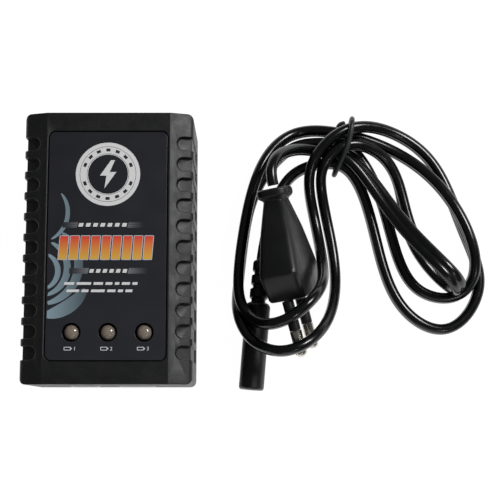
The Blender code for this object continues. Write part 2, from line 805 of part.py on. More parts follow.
def mains_inlet():
    """A block with a stadium-shaped recess for the lead's connector, and its two pins."""
    face = CASE_LENGTH / 2 + INLET_PROUD
    middle = inlet_centre()
    size = (INLET_WIDTH, INLET_DEPTH, INLET_TOP - SEAT)
    inlet = box("mains_inlet", size, (0, face - INLET_DEPTH / 2, middle), BLACK_PLASTIC)
    along = place((0, face, middle), turned_about(-90, "X"))
    wide = CONNECTOR_WIDTH + 2 * INLET_FIT
    high = CONNECTOR_THICKNESS + 2 * INLET_FIT
    recess = filleted(rectangle(wide, high, high / 2 - 0.01), 6)
    boolean(inlet, "DIFFERENCE", prism("inlet_recess", recess, -INLET_RECESS, 1, None, along))
    bores = []
    for side, name in ((-1, "inlet_pin_left"), (1, "inlet_pin_right")):
        at = place((side * CONTACT_PITCH / 2, face, middle), turned_about(-90, "X"))
        low = -INLET_DEPTH - INLET_PIN_TAIL
        profile = (
            (0, -INLET_PIN_SUNK),
            (INLET_PIN_RADIUS * 0.6, -INLET_PIN_SUNK),
            (INLET_PIN_RADIUS, -INLET_PIN_SUNK - 0.8),
            (INLET_PIN_RADIUS, low),
            (0, low),
        )
        turned(name, profile, NICKEL_PIN, at, 16)
        bores.append(cylinder(f"{name}_bore", INLET_PIN_RADIUS + GAP, low, -INLET_RECESS + 1, None, at, 16))
    boolean(inlet, "DIFFERENCE", tool_group("inlet_bores", bores))


def socket_width(pins):
    return (pins - 1) * SOCKET_PITCH + SOCKET_MARGIN


def balance_sockets():
    """Open-fronted headers with square pins in a row."""
    face = -CASE_LENGTH / 2
    middle = SEAT + SOCKET_HEIGHT / 2
    for name, pins, x in SOCKETS:
        width = socket_width(pins)
        size = (width, SOCKET_DEPTH, SOCKET_HEIGHT)
        body = box(name, size, (x, face + SOCKET_DEPTH / 2, middle), SOCKET_NYLON)
        hollow_depth = SOCKET_DEPTH - 2 * SOCKET_WALL
        hollow = box(
            f"{name}_hollow",
            (width - 2 * SOCKET_WALL, hollow_depth + 1, SOCKET_HEIGHT - 2 * SOCKET_WALL),
            (x, face + (hollow_depth - 1) / 2, middle),
        )
        boolean(body, "DIFFERENCE", hollow)
        bores = []
        front = face + SOCKET_WALL
        back = face + SOCKET_DEPTH + SOCKET_PIN_TAIL
        for i in range(pins):
            pin_x = x + (i - (pins - 1) / 2) * SOCKET_PITCH
            centre = (pin_x, (front + back) / 2, middle)
            cells = name.rsplit("_", 1)[1]
            box(f"balance_pin_{cells}_{i + 1}", (SOCKET_PIN, back - front, SOCKET_PIN), centre, TINNED_PIN)
            side = SOCKET_PIN + 2 * GAP
            bores.append(box(f"{name}_bore_{i}", (side, back - front, side), (pin_x, centre[1] + 2, middle)))
        boolean(body, "DIFFERENCE", tool_group(f"{name}_bores", bores))


# Lead


def plug_matrix(along=0.0, across=0.0):
    """The plug's frame: its own Z runs towards the pins and its own Y across them, up in the world."""
    turn = (
        turned_about(PLUG_YAW, "Z")
        @ turned_about(90 + PLUG_NOSE_DOWN, "X")
        @ turned_about(PLUG_LEAN, "Z")
    )
    return place(PLUG_PLACE, turn) @ Matrix.Translation((0, across * MM, along * MM))


def mains_plug():
    """Two-pin plug: a collar, a neck that flares to the widest section, and a nose with cut corners."""
    back = -PLUG_WIDEST
    nose = PLUG_LENGTH - PLUG_WIDEST
    stations = (
        (back, COLLAR_SIZE[0] - 1.2, COLLAR_SIZE[1] - 1.2, 3.6),
        (back + 0.7, *COLLAR_SIZE, 4.0),
        (back + COLLAR_LENGTH - 0.7, *COLLAR_SIZE, 4.0),
        (back + COLLAR_LENGTH, COLLAR_SIZE[0] - 1.2, COLLAR_SIZE[1] - 1.2, 3.6),
        (back + COLLAR_LENGTH + 0.8, *NECK_SIZE, 2.2),
        (back / 2, (NECK_SIZE[0] + PLUG_WIDTH) / 2 - 1.2, (NECK_SIZE[1] + PLUG_THICKNESS) / 2 + 0.4, 2.2),
        (-1.5, PLUG_WIDTH - 1.2, PLUG_THICKNESS, 2.2),
        (0.0, PLUG_WIDTH, PLUG_THICKNESS, 2.2),
        (1.2, PLUG_WIDTH - 0.8, PLUG_THICKNESS, 2.2),
        (nose - 0.8, PLUG_NOSE_WIDTH, PLUG_THICKNESS - 0.4, 2.2),
        (nose, PLUG_NOSE_WIDTH - 1.2, PLUG_THICKNESS - 1.6, 1.8),
    )
    body = loft("plug_body", stations, BLACK_PLASTIC, plug_matrix(), 4)
    root = nose - 4.0
    bare = nose + SLEEVE_LENGTH + GAP
    tip = nose + PIN_LENGTH
    bores = []
    for side, level in ((1, "upper"), (-1, "lower")):
        at = plug_matrix(0, side * PIN_PITCH / 2)
        pin = (
            (0, tip),
            (PIN_RADIUS * 0.55, tip),
            (PIN_RADIUS, tip - 1.4),
            (PIN_RADIUS, bare),
            (PIN_CORE_RADIUS, bare),
            (PIN_CORE_RADIUS, root),
            (0, root),
        )
        turned(f"plug_pin_{level}", pin, NICKEL_PIN, at, 20)
        inside = PIN_CORE_RADIUS + GAP
        sleeve_end = nose + SLEEVE_LENGTH
        ring(f"plug_sleeve_{level}", SLEEVE_RADIUS, inside, nose + GAP, sleeve_end, BLACK_PLASTIC, at)
        bores.append(cylinder(f"plug_bore_{level}", inside, root - GAP, nose + 1, None, at, 16))
    boolean(body, "DIFFERENCE", tool_group("plug_bores", bores))


def connector_matrix(across=0.0):
    """The connector's frame: its own Z runs out of its mouth and its own Y is up in the world."""
    turn = turned_about(CONNECTOR_YAW, "Z") @ turned_about(90, "X")
    return place(CONNECTOR_PLACE, turn) @ Matrix.Translation((0, across * MM, 0))


def connector():
    """Flat two-hole connector standing on its narrow edge, with a ribbed strain relief behind it."""
    radius = CONNECTOR_THICKNESS / 2 - 0.05
    back = -CONNECTOR_BODY
    tail = back - RELIEF_LENGTH
    stations = [(tail, 6.4, 4.4, 2.0)]
    rib = (RELIEF_LENGTH - 1.0) / RELIEF_RIBS
    for i in range(RELIEF_RIBS):
        start = tail + 0.6 + i * rib
        grow = i / RELIEF_RIBS
        wide, thick = 8.4 + 1.8 * grow, 5.6 + 0.9 * grow
        stations += [
            (start, wide - 0.4, thick - 0.4, 2.2),
            (start + 0.4, wide, thick, 2.4),
            (start + rib * 0.62, wide, thick, 2.4),
            (start + rib * 0.70, wide - 1.8, thick - 1.4, 1.9),
            (start + rib * 0.95, wide - 1.8, thick - 1.4, 1.9),
        ]
    stations += [
        (back, CONNECTOR_WIDTH - 1.6, CONNECTOR_THICKNESS - 1.4, radius - 0.8),
        (back + 0.9, CONNECTOR_WIDTH, CONNECTOR_THICKNESS, radius),
        (-0.5, CONNECTOR_WIDTH, CONNECTOR_THICKNESS, radius),
        (0.0, CONNECTOR_WIDTH - 0.8, CONNECTOR_THICKNESS - 0.8, radius - 0.4),
    ]
    body = loft("connector_body", stations, BLACK_PLASTIC, connector_matrix(), 4)
    bores = []
    for side, level in ((1, "upper"), (-1, "lower")):
        at = connector_matrix(side * CONTACT_PITCH / 2)
        outer, inner = CONTACT_HOLE_RADIUS - GAP, INLET_PIN_RADIUS + 0.1
        depth = CONTACT_HOLE_DEPTH
        ring(f"connector_contact_{level}", outer, inner, GAP - depth, -CONTACT_SUNK, NICKEL_PIN, at, 16)
        bores.append(cylinder(f"contact_bore_{level}", CONTACT_HOLE_RADIUS, -depth, 1, None, at, 16))
    boolean(body, "DIFFERENCE", tool_group("contact_bores", bores))


def lead():
    mains_plug()
    connector()
    tube("mains_cord", smooth(CORD_ROUTE, CORD_POINTS, 14.0), CORD_THICKNESS / 2, CORD_PVC)
    tube("cord_tie", smooth(TIE_ROUTE, TIE_POINTS, 2.0), TIE_RADIUS, CORD_PVC)


def shade():
    """Round pieces are shaded smooth, with their edges kept sharp."""
    for obj in PARTS.objects:
        if obj.type == "MESH" and obj.data.polygons:
            obj.data.shade_smooth()
            obj.data.set_sharp_from_angle(angle=math.radians(35))


def main():
    slots = groove_tools()
    bottom_shell(slots)
    top_shell(slots)
    label_panel()
    rating_sticker()
    case_screws()
    leds()
    circuit_board()
    transformer()
    choke()
    board_parts()
    mains_inlet()
    balance_sockets()
    lead()
    shade()


main()
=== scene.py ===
"""Compact three-cell balance charger and its coiled mains lead: shapes, prints and finishes.

Metres, +Z up. The origin is under the middle of the case. Every new piece is a surface worked out from two
parameters, or a modifier stack on a copy of a part in the frame, and rides on one of its bodies.
"""

import math

import bmesh
import bpy
import numpy as np
from bpy.props import FloatProperty, FloatVectorProperty, IntProperty, PointerProperty
from mathutils import Matrix, Vector


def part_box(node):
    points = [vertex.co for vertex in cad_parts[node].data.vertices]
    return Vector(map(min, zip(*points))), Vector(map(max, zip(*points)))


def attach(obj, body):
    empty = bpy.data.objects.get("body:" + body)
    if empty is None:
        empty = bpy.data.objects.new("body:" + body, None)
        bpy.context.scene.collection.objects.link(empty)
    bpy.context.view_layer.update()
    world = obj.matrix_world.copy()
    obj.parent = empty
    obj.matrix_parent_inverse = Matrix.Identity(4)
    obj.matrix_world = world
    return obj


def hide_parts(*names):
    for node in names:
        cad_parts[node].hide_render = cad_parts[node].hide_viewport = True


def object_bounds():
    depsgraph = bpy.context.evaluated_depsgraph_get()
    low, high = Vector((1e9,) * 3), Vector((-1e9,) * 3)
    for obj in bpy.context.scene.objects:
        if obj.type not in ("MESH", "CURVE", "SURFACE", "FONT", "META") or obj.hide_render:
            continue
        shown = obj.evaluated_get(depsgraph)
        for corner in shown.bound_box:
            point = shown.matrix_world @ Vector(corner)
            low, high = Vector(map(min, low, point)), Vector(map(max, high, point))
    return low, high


bl_info = {
    "name": "Balance charger with mains lead",
    "version": (1, 0, 0),
    "blender": (4, 5, 0),
    "location": "View3D > Sidebar > Charger",
    "description": "Builds the visible shapes and finishes of a small battery charger and its mains lead",
    "category": "Object",
}

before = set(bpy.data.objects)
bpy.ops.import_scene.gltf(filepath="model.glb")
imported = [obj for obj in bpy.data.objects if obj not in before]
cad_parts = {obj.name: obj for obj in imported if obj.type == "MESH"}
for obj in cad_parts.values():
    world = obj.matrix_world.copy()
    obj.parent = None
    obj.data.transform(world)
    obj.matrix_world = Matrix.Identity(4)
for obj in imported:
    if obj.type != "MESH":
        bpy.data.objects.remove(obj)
CAD_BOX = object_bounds()

CHARGER = "charger"
LEAD = "lead"
PIN_COVERED = 0.0143  # length of a plug pin inside the plug and its sleeve
PIN_ROOT = 0.0012  # radius of a plug pin inside its sleeve

# Centreline of the flat cord with the tilt of its width in degrees: 0 lies flat, 90 stands on edge
CORD_ROUTE = (
    (0.05365, 0.0223, 0.0225, 90),
    (0.053, 0.0267, 0.0228, 90),
    (0.0544, 0.0316, 0.0202, 90),
    (0.0586, 0.0356, 0.0142, 90),
    (0.0644, 0.0376, 0.0088, 90),
    (0.0708, 0.0373, 0.0064, 90),
    (0.0778, 0.0355, 0.008, 75),
    (0.0843, 0.0305, 0.0084, 40),
    (0.0928, 0.0185, 0.0096, 10),
    (0.1013, 0.0065, 0.0134, 0),
    (0.1112, -0.005, 0.0174, 0),
    (0.1151, -0.009, 0.0152, 0),
    (0.1167, -0.0107, 0.0097, 0),
    (0.1151, -0.009, 0.0042, 0),
    (0.1113, -0.0051, 0.0019, 0),
    (0.1023, 0.0085, 0.0022, 45),
    (0.0978, 0.0265, 0.003, 90),
    (0.0908, 0.0365, 0.0065, 90),
    (0.0793, 0.0385, 0.0113, 90),
    (0.0718, 0.0325, 0.0102, 90),
    (0.0708, 0.0235, 0.0048, 90),
    (0.0743, 0.0045, 0.003, 90),
    (0.0748, -0.012, 0.008, 90),
    (0.0673, -0.028, 0.025, 90),
    (0.0568, -0.033, 0.0275, 90),
    (0.0473, -0.0295, 0.02, 90),
    (0.0433, -0.024, 0.0173, 90),
    (0.0415, -0.0165, 0.0093, 90),
    (0.042, -0.008, 0.004, 90),
    (0.0436, 0.006, 0.003, 90),
    (0.0483, 0.0245, 0.003, 90),
    (0.0598, 0.0386, 0.0032, 90),
    (0.0693, 0.0409, 0.0036, 90),
    (0.0783, 0.0398, 0.005, 90),
    (0.0838, 0.0365, 0.003, 90),
    (0.0903, 0.0245, 0.003, 90),
    (0.0953, 0.007, 0.003, 90),
    (0.1028, -0.0095, 0.003, 90),
    (0.1138, -0.0135, 0.003, 90),
    (0.1202, -0.0106, 0.0042, 90),
    (0.1228, -0.0015, 0.0086, 90),
    (0.1143, 0.0205, 0.0088, 90),
    (0.0978, 0.037, 0.0038, 90),
    (0.0783, 0.0439, 0.0052, 90),
    (0.0618, 0.0444, 0.0034, 90),
    (0.0498, 0.0315, 0.0086, 90),
    (0.0436, 0.008, 0.0089, 90),
    (0.042, -0.007, 0.011, 90),
    (0.043, -0.0165, 0.016, 90),
    (0.0468, -0.022, 0.02, 90),
    (0.0533, -0.0242, 0.0274, 90),
    (0.0602, -0.0215, 0.0303, 90),
    (0.0667, -0.0156, 0.0282, 90),
    (0.0706, -0.0035, 0.0105, 90),
    (0.0678, 0.0165, 0.0034, 90),
    (0.0673, 0.032, 0.0102, 90),
    (0.0793, 0.044, 0.0113, 90),
    (0.0963, 0.044, 0.005, 90),
    (0.1103, 0.033, 0.003, 90),
    (0.1203, 0.0095, 0.003, 90),
    (0.1248, -0.01, 0.003, 90),
    (0.1138, -0.024, 0.003, 90),
    (0.0983, -0.0165, 0.003, 90),
    (0.0898, 0.006, 0.003, 90),
    (0.0848, 0.024, 0.003, 90),
    (0.0783, 0.0322, 0.0052, 90),
    (0.0693, 0.0332, 0.0042, 90),
    (0.0588, 0.0275, 0.0032, 90),
    (0.0514, 0.008, 0.0064, 90),
    (0.0499, -0.0007, 0.0076, 90),
)
# The wire that holds the turns of the cord together
TIE_ROUTE = (
    (0.0806, 0.0390, 0.0011),
    (0.0809, 0.0449, 0.0018),
    (0.0812, 0.0477, 0.0052),
    (0.0812, 0.0481, 0.0105),
    (0.0808, 0.0455, 0.0145),
    (0.0799, 0.0403, 0.0145),
    (0.0784, 0.0357, 0.0136),
    (0.0765, 0.0320, 0.0098),
    (0.0752, 0.0294, 0.0053),
    (0.076, 0.0321, 0.0019),
    (0.0767, 0.0376, 0.0011),
    (0.0765, 0.0432, 0.0014),
    (0.0768, 0.0464, 0.0029),
    (0.0776, 0.0475, 0.0045),
    (0.0788, 0.0476, 0.0056),
)

# Colours and shared numbers


def linear(colour):
    """The linear red, green and blue of an sRGB hex colour."""
    channels = [int(colour[i : i + 2], 16) / 255 for i in (0, 2, 4)]
    return tuple(c / 12.92 if c <= 0.04045 else ((c + 0.055) / 1.055) ** 2.4 for c in channels)


def middle(node):
    """Centre of a node's box."""
    low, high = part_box(node)
    return (Vector(low) + Vector(high)) / 2


def span(node):
    """Size of a node's box."""
    low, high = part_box(node)
    return Vector(high) - Vector(low)


def colour_property(name, description, colour):
    return FloatVectorProperty(
        name=name, description=description, subtype="COLOR", size=3, min=0, max=1, default=linear(colour)
    )


def length_property(name, description, metres):
    return FloatProperty(name=name, description=description, unit="LENGTH", precision=5, default=metres)


# Settings that a user would change


class CaseSettings(bpy.types.PropertyGroup):
    plastic: colour_property("Plastic", "Colour of the moulded case", "101113")
    film: colour_property("Label film", "Ground colour of the label", "2B2C33")
    edge: length_property("Edge", "Radius on the case's edges and grooves", 0.00028)
    grain: length_property("Grain", "Size of the spark texture's pits", 0.00035)


class PrintSettings(bpy.types.PropertyGroup):
    white: colour_property("White ink", "Badge, rows and captions", "FAFAFC")
    silver: colour_property("Silver ink", "Outlines and streaks", "D9DCE4")
    warm_top: colour_property("Warm top", "Upper end of the level bars' blend", "F8563F")
    warm_foot: colour_property("Warm foot", "Lower end of the level bars' blend", "F7BE4E")
    sweep: colour_property("Sweep", "Pale arcs at the left of the label", "9DB6C2")
    height: length_property("Ink height", "How far the ink stands on the film", 0.00003)
    bars: IntProperty(name="Level bars", description="Slanted bars in the row", default=9, min=3, max=20)


class LampSettings(bpy.types.PropertyGroup):
    epoxy: colour_property("Epoxy", "Milky lamp body", "85817B")
    # painted highlight: the light, warm colour at the top of each lamp's dome, blended down to painted shade
    # at its foot
    glow: colour_property("Heart", "Warmer middle seen through the dome", "988B7D")


class LeadSettings(bpy.types.PropertyGroup):
    width: length_property("Width", "Width of the flat twin cord", 0.0058)
    thickness: length_property("Thickness", "Thickness of the flat twin cord", 0.0036)
    tie: length_property("Tie", "Radius of the wire round the turns", 0.0009)
    step: length_property("Step", "Distance between sections along the cord", 0.0014)
    sheath: colour_property("Sheath", "Colour of the cord", "08090A")
    plug: colour_property("Plug", "Colour of the plug and connector", "0E0F10")


class StageSettings(bpy.types.PropertyGroup):
    distance: length_property("Distance", "Camera to the middle of the group", 0.385)
    elevation: FloatProperty(
        name="Elevation", description="Camera above the horizon", subtype="ANGLE", default=math.radians(82)
    )
    lens: FloatProperty(name="Lens", description="Focal length on a 36 mm frame", unit="CAMERA", default=86.6)
    key: FloatProperty(name="Key light", description="Power of the large soft light", default=3.4, min=0)
    rim: FloatProperty(name="Front light", description="Power of the low light in front", default=0.4, min=0)
    sky: FloatProperty(name="Sky", description="Strength of the even light all round", default=0.1, min=0)


# Surfaces


def finished(name, mesh, material, body, replaces=(), smooth=35):
    """A piece from a mesh: linked, shaded, given its finish and set to ride on a body."""
    piece = bpy.data.objects.new(name, mesh)
    bpy.context.scene.collection.objects.link(piece)
    mesh.materials.clear()
    mesh.materials.append(material)
    mesh.shade_smooth()
    if smooth < 180:
        mesh.set_sharp_from_angle(angle=math.radians(smooth))
    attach(piece, body)
    if replaces:
        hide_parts(*replaces)
    return piece


def mesh_of(name, verts, faces, matrix=None):
    """A mesh from arrays, with its place applied and its faces turned outwards."""
    verts = np.asarray(verts, float).reshape(-1, 3)
    if matrix is not None:
        turn = np.array(matrix)
        verts = verts @ turn[:3, :3].T + turn[:3, 3]
    mesh = bpy.data.meshes.new(name)
    mesh.from_pydata(verts.tolist(), [], faces)
    bm = bmesh.new()
    bm.from_mesh(mesh)
    bmesh.ops.remove_doubles(bm, verts=bm.verts, dist=1e-7)
    bmesh.ops.recalc_face_normals(bm, faces=bm.faces)
    bm.to_mesh(mesh)
    bm.free()
    return mesh


def sheet_faces(rows, cols, round_cols=True, round_rows=False):
    """Quads of a grid of points whose columns, rows or both close on themselves."""
    index = np.arange(rows * cols).reshape(rows, cols)
    if round_rows:
        index = np.vstack([index, index[:1]])
    if round_cols:
        index = np.hstack([index, index[:, :1]])
    quads = np.stack([index[:-1, :-1], index[:-1, 1:], index[1:, 1:], index[1:, :-1]], axis=-1)
    return quads.reshape(-1, 4).tolist()


def skin(name, points, matrix=None, capped=True, round_rows=False):
    """A grid of points (rows, columns, 3) whose columns run round the piece, with its two ends closed."""
    rows, cols = points.shape[:2]
    faces = sheet_faces(rows, cols, True, round_rows)
    if capped and not round_rows:
        last = (rows - 1) * cols
        faces += [list(range(cols)), list(range(last, last + cols))]
    return mesh_of(name, points, faces, matrix)


def revolve(name, profile, matrix=None, segments=64, closed=False):
    """Radius r and height h along a profile, carried round Z: (r cos a, r sin a, h)."""
    profile = np.asarray(profile, float)
    angle = np.linspace(0, 2 * np.pi, segments, endpoint=False)
    radius, height = profile[:, :1], profile[:, 1:]
    points = np.stack(
        [radius * np.cos(angle), radius * np.sin(angle), np.broadcast_to(height, (len(profile), segments))],
        axis=-1,
    )
    return skin(name, points, matrix, capped=not closed, round_rows=closed)


def unit(vectors):
    """Vectors along the last axis, brought to length one."""
    return vectors / np.linalg.norm(vectors, axis=-1, keepdims=True)


def around(radius, angle, centre=(0.0, 0.0)):
    """Points in a plane at a radius and an angle about a centre."""
    return np.column_stack([centre[0] + radius * np.cos(angle), centre[1] + radius * np.sin(angle)])


def rounded(points, radii, steps=6):
    """An outline with each corner replaced by an arc: tangent points joined by a turning radius."""
    outline = []
    for i, (corner, radius) in enumerate(zip(points, radii)):
        here = np.array(corner, float)
        if radius <= 0:
            outline.append(here)
            continue
        to_last = unit(np.array(points[i - 1], float) - here)
        to_next = unit(np.array(points[(i + 1) % len(points)], float) - here)
        half = math.acos(np.clip(to_last @ to_next, -1, 1)) / 2
        reach = radius / math.tan(half)
        centre = here + unit(to_last + to_next) * radius / math.sin(half)
        start, end = here + to_last * reach - centre, here + to_next * reach - centre
        sweep = math.atan2(start[0] * end[1] - start[1] * end[0], start @ end)
        angles = np.linspace(0, sweep, steps + 1)
        across, up = start
        turned = [
            (across * math.cos(a) - up * math.sin(a), across * math.sin(a) + up * math.cos(a)) for a in angles
        ]
        outline += [centre + np.array(point) for point in turned]
    return np.array(outline)


def rounded_box(width, height, radius, centre=(0.0, 0.0), steps=6):
    """A rounded rectangle's outline."""
    x, y = width / 2, height / 2
    corners = [(centre[0] + sx * x, centre[1] + sy * y) for sx, sy in ((1, -1), (1, 1), (-1, 1), (-1, -1))]
    return rounded(corners, [radius] * 4, steps)


def plate(name, outlines, low, high, matrix=None):
    """Flat outlines with straight sides between two heights, all in one mesh."""
    verts, faces = [], []
    for outline in outlines:
        count, start = len(outline), len(verts)
        verts += [(x, y, low) for x, y in outline] + [(x, y, high) for x, y in outline]
        ring = [start + i for i in range(count)]
        faces += [ring[::-1], [i + count for i in ring]]
        faces += [[a, b, b + count, a + count] for a, b in zip(ring, ring[1:] + ring[:1])]
    return mesh_of(name, verts, faces, matrix)


def border(name, outline, width, low, high, matrix=None):
    """A closed outline carried inwards by a width: four rings joined into a thin frame."""
    outline = np.asarray(outline, float)
    ahead = np.roll(outline, -1, axis=0) - outline
    behind = outline - np.roll(outline, 1, axis=0)
    tangent = unit(unit(ahead) + unit(behind))
    inner = outline + width * np.stack([-tangent[:, 1], tangent[:, 0]], axis=1)
    rings = [(outline, low), (outline, high), (inner, high), (inner, low)]
    points = np.stack([np.column_stack([ring, np.full(len(ring), z)]) for ring, z in rings])
    return skin(name, points, matrix, capped=False, round_rows=True)


def joined(name, meshes):
    """Several meshes as one."""
    bm = bmesh.new()
    for mesh in meshes:
        bm.from_mesh(mesh)
        bpy.data.meshes.remove(mesh)
    whole = bpy.data.meshes.new(name)
    bm.to_mesh(whole)
    bm.free()
    return whole


def spline(route, step):
    """Points at even steps along the natural cubic spline through a route.

    Its knots are the square root of the distance apart.
    """
    route = np.array(route, float)
    knots = np.r_[0, np.cumsum(np.sqrt(np.linalg.norm(np.diff(route[:, :3], axis=0), axis=1)))]
    spans = np.diff(knots)
    size = len(route)
    system, right = np.eye(size), np.zeros_like(route)
    for i in range(1, size - 1):
        system[i, i - 1 : i + 2] = spans[i - 1], 2 * (spans[i - 1] + spans[i]), spans[i]
        right[i] = 6 * ((route[i + 1] - route[i]) / spans[i] - (route[i] - route[i - 1]) / spans[i - 1])
    bend = np.linalg.solve(system, right)
    fine = np.linspace(0, knots[-1], 8000)
    at = np.clip(np.searchsorted(knots, fine, side="right") - 1, 0, size - 2)
    gap = spans[at][:, None]
    left = (fine - knots[at])[:, None]
    rest = gap - left
    curve = (
        (bend[at] * rest**3 + bend[at + 1] * left**3) / (6 * gap)
        + (route[at] / gap - bend[at] * gap / 6) * rest
        + (route[at + 1] / gap - bend[at + 1] * gap / 6) * left
    )
    along = np.r_[0, np.cumsum(np.linalg.norm(np.diff(curve[:, :3], axis=0), axis=1))]
    wanted = np.linspace(0, along[-1], max(2, round(along[-1] / step)))
    return np.stack([np.interp(wanted, along, curve[:, k]) for k in range(curve.shape[1])], axis=1), wanted


def carried_frames(points):
    """Unit tangent and a side direction carried along a path without twist, by double reflection."""
    tangent = unit(np.gradient(points, axis=0))
    side = np.zeros_like(points)
    side[0] = unit(np.cross(tangent[0], (0, 0, 1)))
    for i in range(len(points) - 1):
        step = points[i + 1] - points[i]
        square = step @ step
        mirrored = side[i] - 2 / square * (step @ side[i]) * step
        heading = tangent[i] - 2 / square * (step @ tangent[i]) * step
        turn = tangent[i + 1] - heading
        side[i + 1] = mirrored - 2 / (turn @ turn) * (turn @ mirrored) * turn
    return tangent, side, np.cross(tangent, side)


def tilted_frames(points, tilt, reach):
    """Width and thickness directions of a flat cord: the level direction across the path, tilted by an angle.

    The angle is measured in the untwisted frame, where the path is steep it is filled in from both sides, and
    half turns don't count because the section is the same upside down.
    """
    tangent, side, other = carried_frames(points)
    level = np.cross(tangent, (0.0, 0.0, 1.0))
    flatness = np.linalg.norm(level, axis=1)
    level /= np.maximum(flatness, 1e-6)[:, None]
    upward = np.cross(level, tangent)
    wide = np.cos(tilt)[:, None] * level + np.sin(tilt)[:, None] * upward
    angle = np.arctan2((wide * other).sum(1), (wide * side).sum(1))
    sure = np.flatnonzero(flatness > 0.55)
    held = np.unwrap(angle[sure], period=np.pi)
    angle = np.interp(np.arange(len(points)), sure, held)
    window = np.hanning(2 * reach + 3)
    angle = np.convolve(np.pad(angle, reach + 1, mode="edge"), window / window.sum(), mode="valid")
    wide = np.cos(angle)[:, None] * side + np.sin(angle)[:, None] * other
    return wide, np.cross(tangent, wide)


def mapped(mesh, rows, cols, across, along):
    """A UV map on a capless grid mesh: u round the section and v in metres along it."""
    layer = mesh.uv_layers.new(name="along_cord")
    loops = np.zeros(len(mesh.loops), dtype=int)
    mesh.loops.foreach_get("vertex_index", loops)
    row, col = np.minimum(loops // cols, rows - 1), loops % cols
    layer.data.foreach_set("uv", np.column_stack([across[col], along[row]]).ravel())


def softened(name, node, edge, material, body, segments=2, angle=32):
    """A copy of a node with flat faces joined and a Bevel modifier on its edges."""
    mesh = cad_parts[node].data.copy()
    bm = bmesh.new()
    bm.from_mesh(mesh)
    bmesh.ops.remove_doubles(bm, verts=bm.verts, dist=2e-7)
    bmesh.ops.dissolve_limit(bm, angle_limit=math.radians(0.6), verts=bm.verts, edges=bm.edges)
    bm.to_mesh(mesh)
    bm.free()
    piece = finished(name, mesh, material, body, (node,), 180)
    bevel = piece.modifiers.new("Edges", "BEVEL")
    bevel.width = edge
    bevel.segments = segments
    bevel.limit_method = "ANGLE"
    bevel.angle_limit = math.radians(angle)
    bevel.use_clamp_overlap = False
    bevel.harden_normals = True
    mesh.set_sharp_from_angle(angle=math.radians(angle))
    return piece


# Finishes


class Finish:
    """A Principled material under construction, with helpers that add and link nodes."""

    def __init__(self, name, colour, roughness, metallic=0.0, **sockets):
        self.material = bpy.data.materials.new(name)
        self.material.use_nodes = True
        self.tree = self.material.node_tree
        self.shader = self.tree.nodes["Principled BSDF"]
        self.colour = tuple(colour) if not isinstance(colour, str) else linear(colour)
        self.set("Base Color", (*self.colour, 1))
        self.set("Roughness", roughness)
        self.set("Metallic", metallic)
        for socket, value in sockets.items():
            self.set(socket.replace("_", " "), value)
        self.height = None

    def set(self, socket, value):
        self.shader.inputs[socket].default_value = value

    def node(self, kind, inputs=(), **settings):
        """A node with its settings, values and incoming links."""
        made = self.tree.nodes.new(kind)
        for key, value in settings.items():
            setattr(made, key, value)
        for key, value in dict(inputs).items():
            if isinstance(value, bpy.types.NodeSocket):
                self.tree.links.new(value, made.inputs[key])
            else:
                made.inputs[key].default_value = value
        return made

    def place(self):
        """Object coordinates, in metres."""
        return self.node("ShaderNodeTexCoord").outputs["Object"]

    def noise(self, size, detail=3.0, stretch=(1, 1, 1)):
        """Noise with features of a size in metres, drawn out along an axis by a stretch under 1."""
        scaled = self.node("ShaderNodeMapping", {"Vector": self.place(), "Scale": stretch})
        inputs = {"Vector": scaled.outputs[0], "Scale": 1 / size, "Detail": detail}
        return self.node("ShaderNodeTexNoise", inputs).outputs[0]

    def cells(self, size):
        """Distance to the nearest of scattered points."""
        inputs = {"Vector": self.place(), "Scale": 1 / size}
        return self.node("ShaderNodeTexVoronoi", inputs).outputs["Distance"]

    def axis(self, letter, source=None):
        """One coordinate of the place, or of another vector."""
        split = self.node("ShaderNodeSeparateXYZ", {0: source or self.place()})
        return split.outputs[letter]

    def remap(self, value, low, high, to_low=0.0, to_high=1.0):
        inputs = {"Value": value, "From Min": low, "From Max": high, "To Min": to_low, "To Max": to_high}
        return self.node("ShaderNodeMapRange", inputs).outputs[0]

    def math(self, operation, first, second=0.0):
        return self.node("ShaderNodeMath", {0: first, 1: second}, operation=operation).outputs[0]

    def mix(self, share, first, second):
        """A blend of two colours."""
        made = self.node("ShaderNodeMix", {"Factor": share}, data_type="RGBA")
        for socket, value in ((made.inputs[6], first), (made.inputs[7], second)):
            if isinstance(value, bpy.types.NodeSocket):
                self.tree.links.new(value, socket)
            else:
                socket.default_value = (*value, 1)
        return made.outputs[2]

    def link(self, socket, value):
        self.tree.links.new(value, self.shader.inputs[socket])

    def bump(self, height, depth, strength=1.0):
        """Adds relief of a depth in metres, on top of any relief before it."""
        inputs = {"Height": height, "Distance": depth, "Strength": strength}
        if self.height:
            inputs["Normal"] = self.height
        self.height = self.node("ShaderNodeBump", inputs).outputs[0]
        self.link("Normal", self.height)

    def shaded(self, share, low=0.8, high=1.2):
        """The base colour, darker and lighter by a share."""
        dark = [c * low for c in self.colour]
        light = [min(1, c * high) for c in self.colour]
        self.link("Base Color", self.mix(share, dark, light))


def moulded_abs(settings):
    """Spark-eroded black plastic: fine pits, scattered bright grains and slow gloss changes."""
    made = Finish("spark_textured_abs", settings.plastic, 0.45, Specular_IOR_Level=0.5)
    pits = made.noise(settings.grain, 2.0)
    made.bump(pits, 0.00007, 0.8)
    grains = made.remap(made.cells(settings.grain * 1.6), 0.0, 0.28, 1.0, 0.0)
    made.link("Base Color", made.mix(made.math("MULTIPLY", grains, 0.35), settings.plastic, linear("5A5D61")))
    made.link("Roughness", made.remap(made.noise(0.004), 0.3, 0.7, 0.42, 0.55))
    return made.material


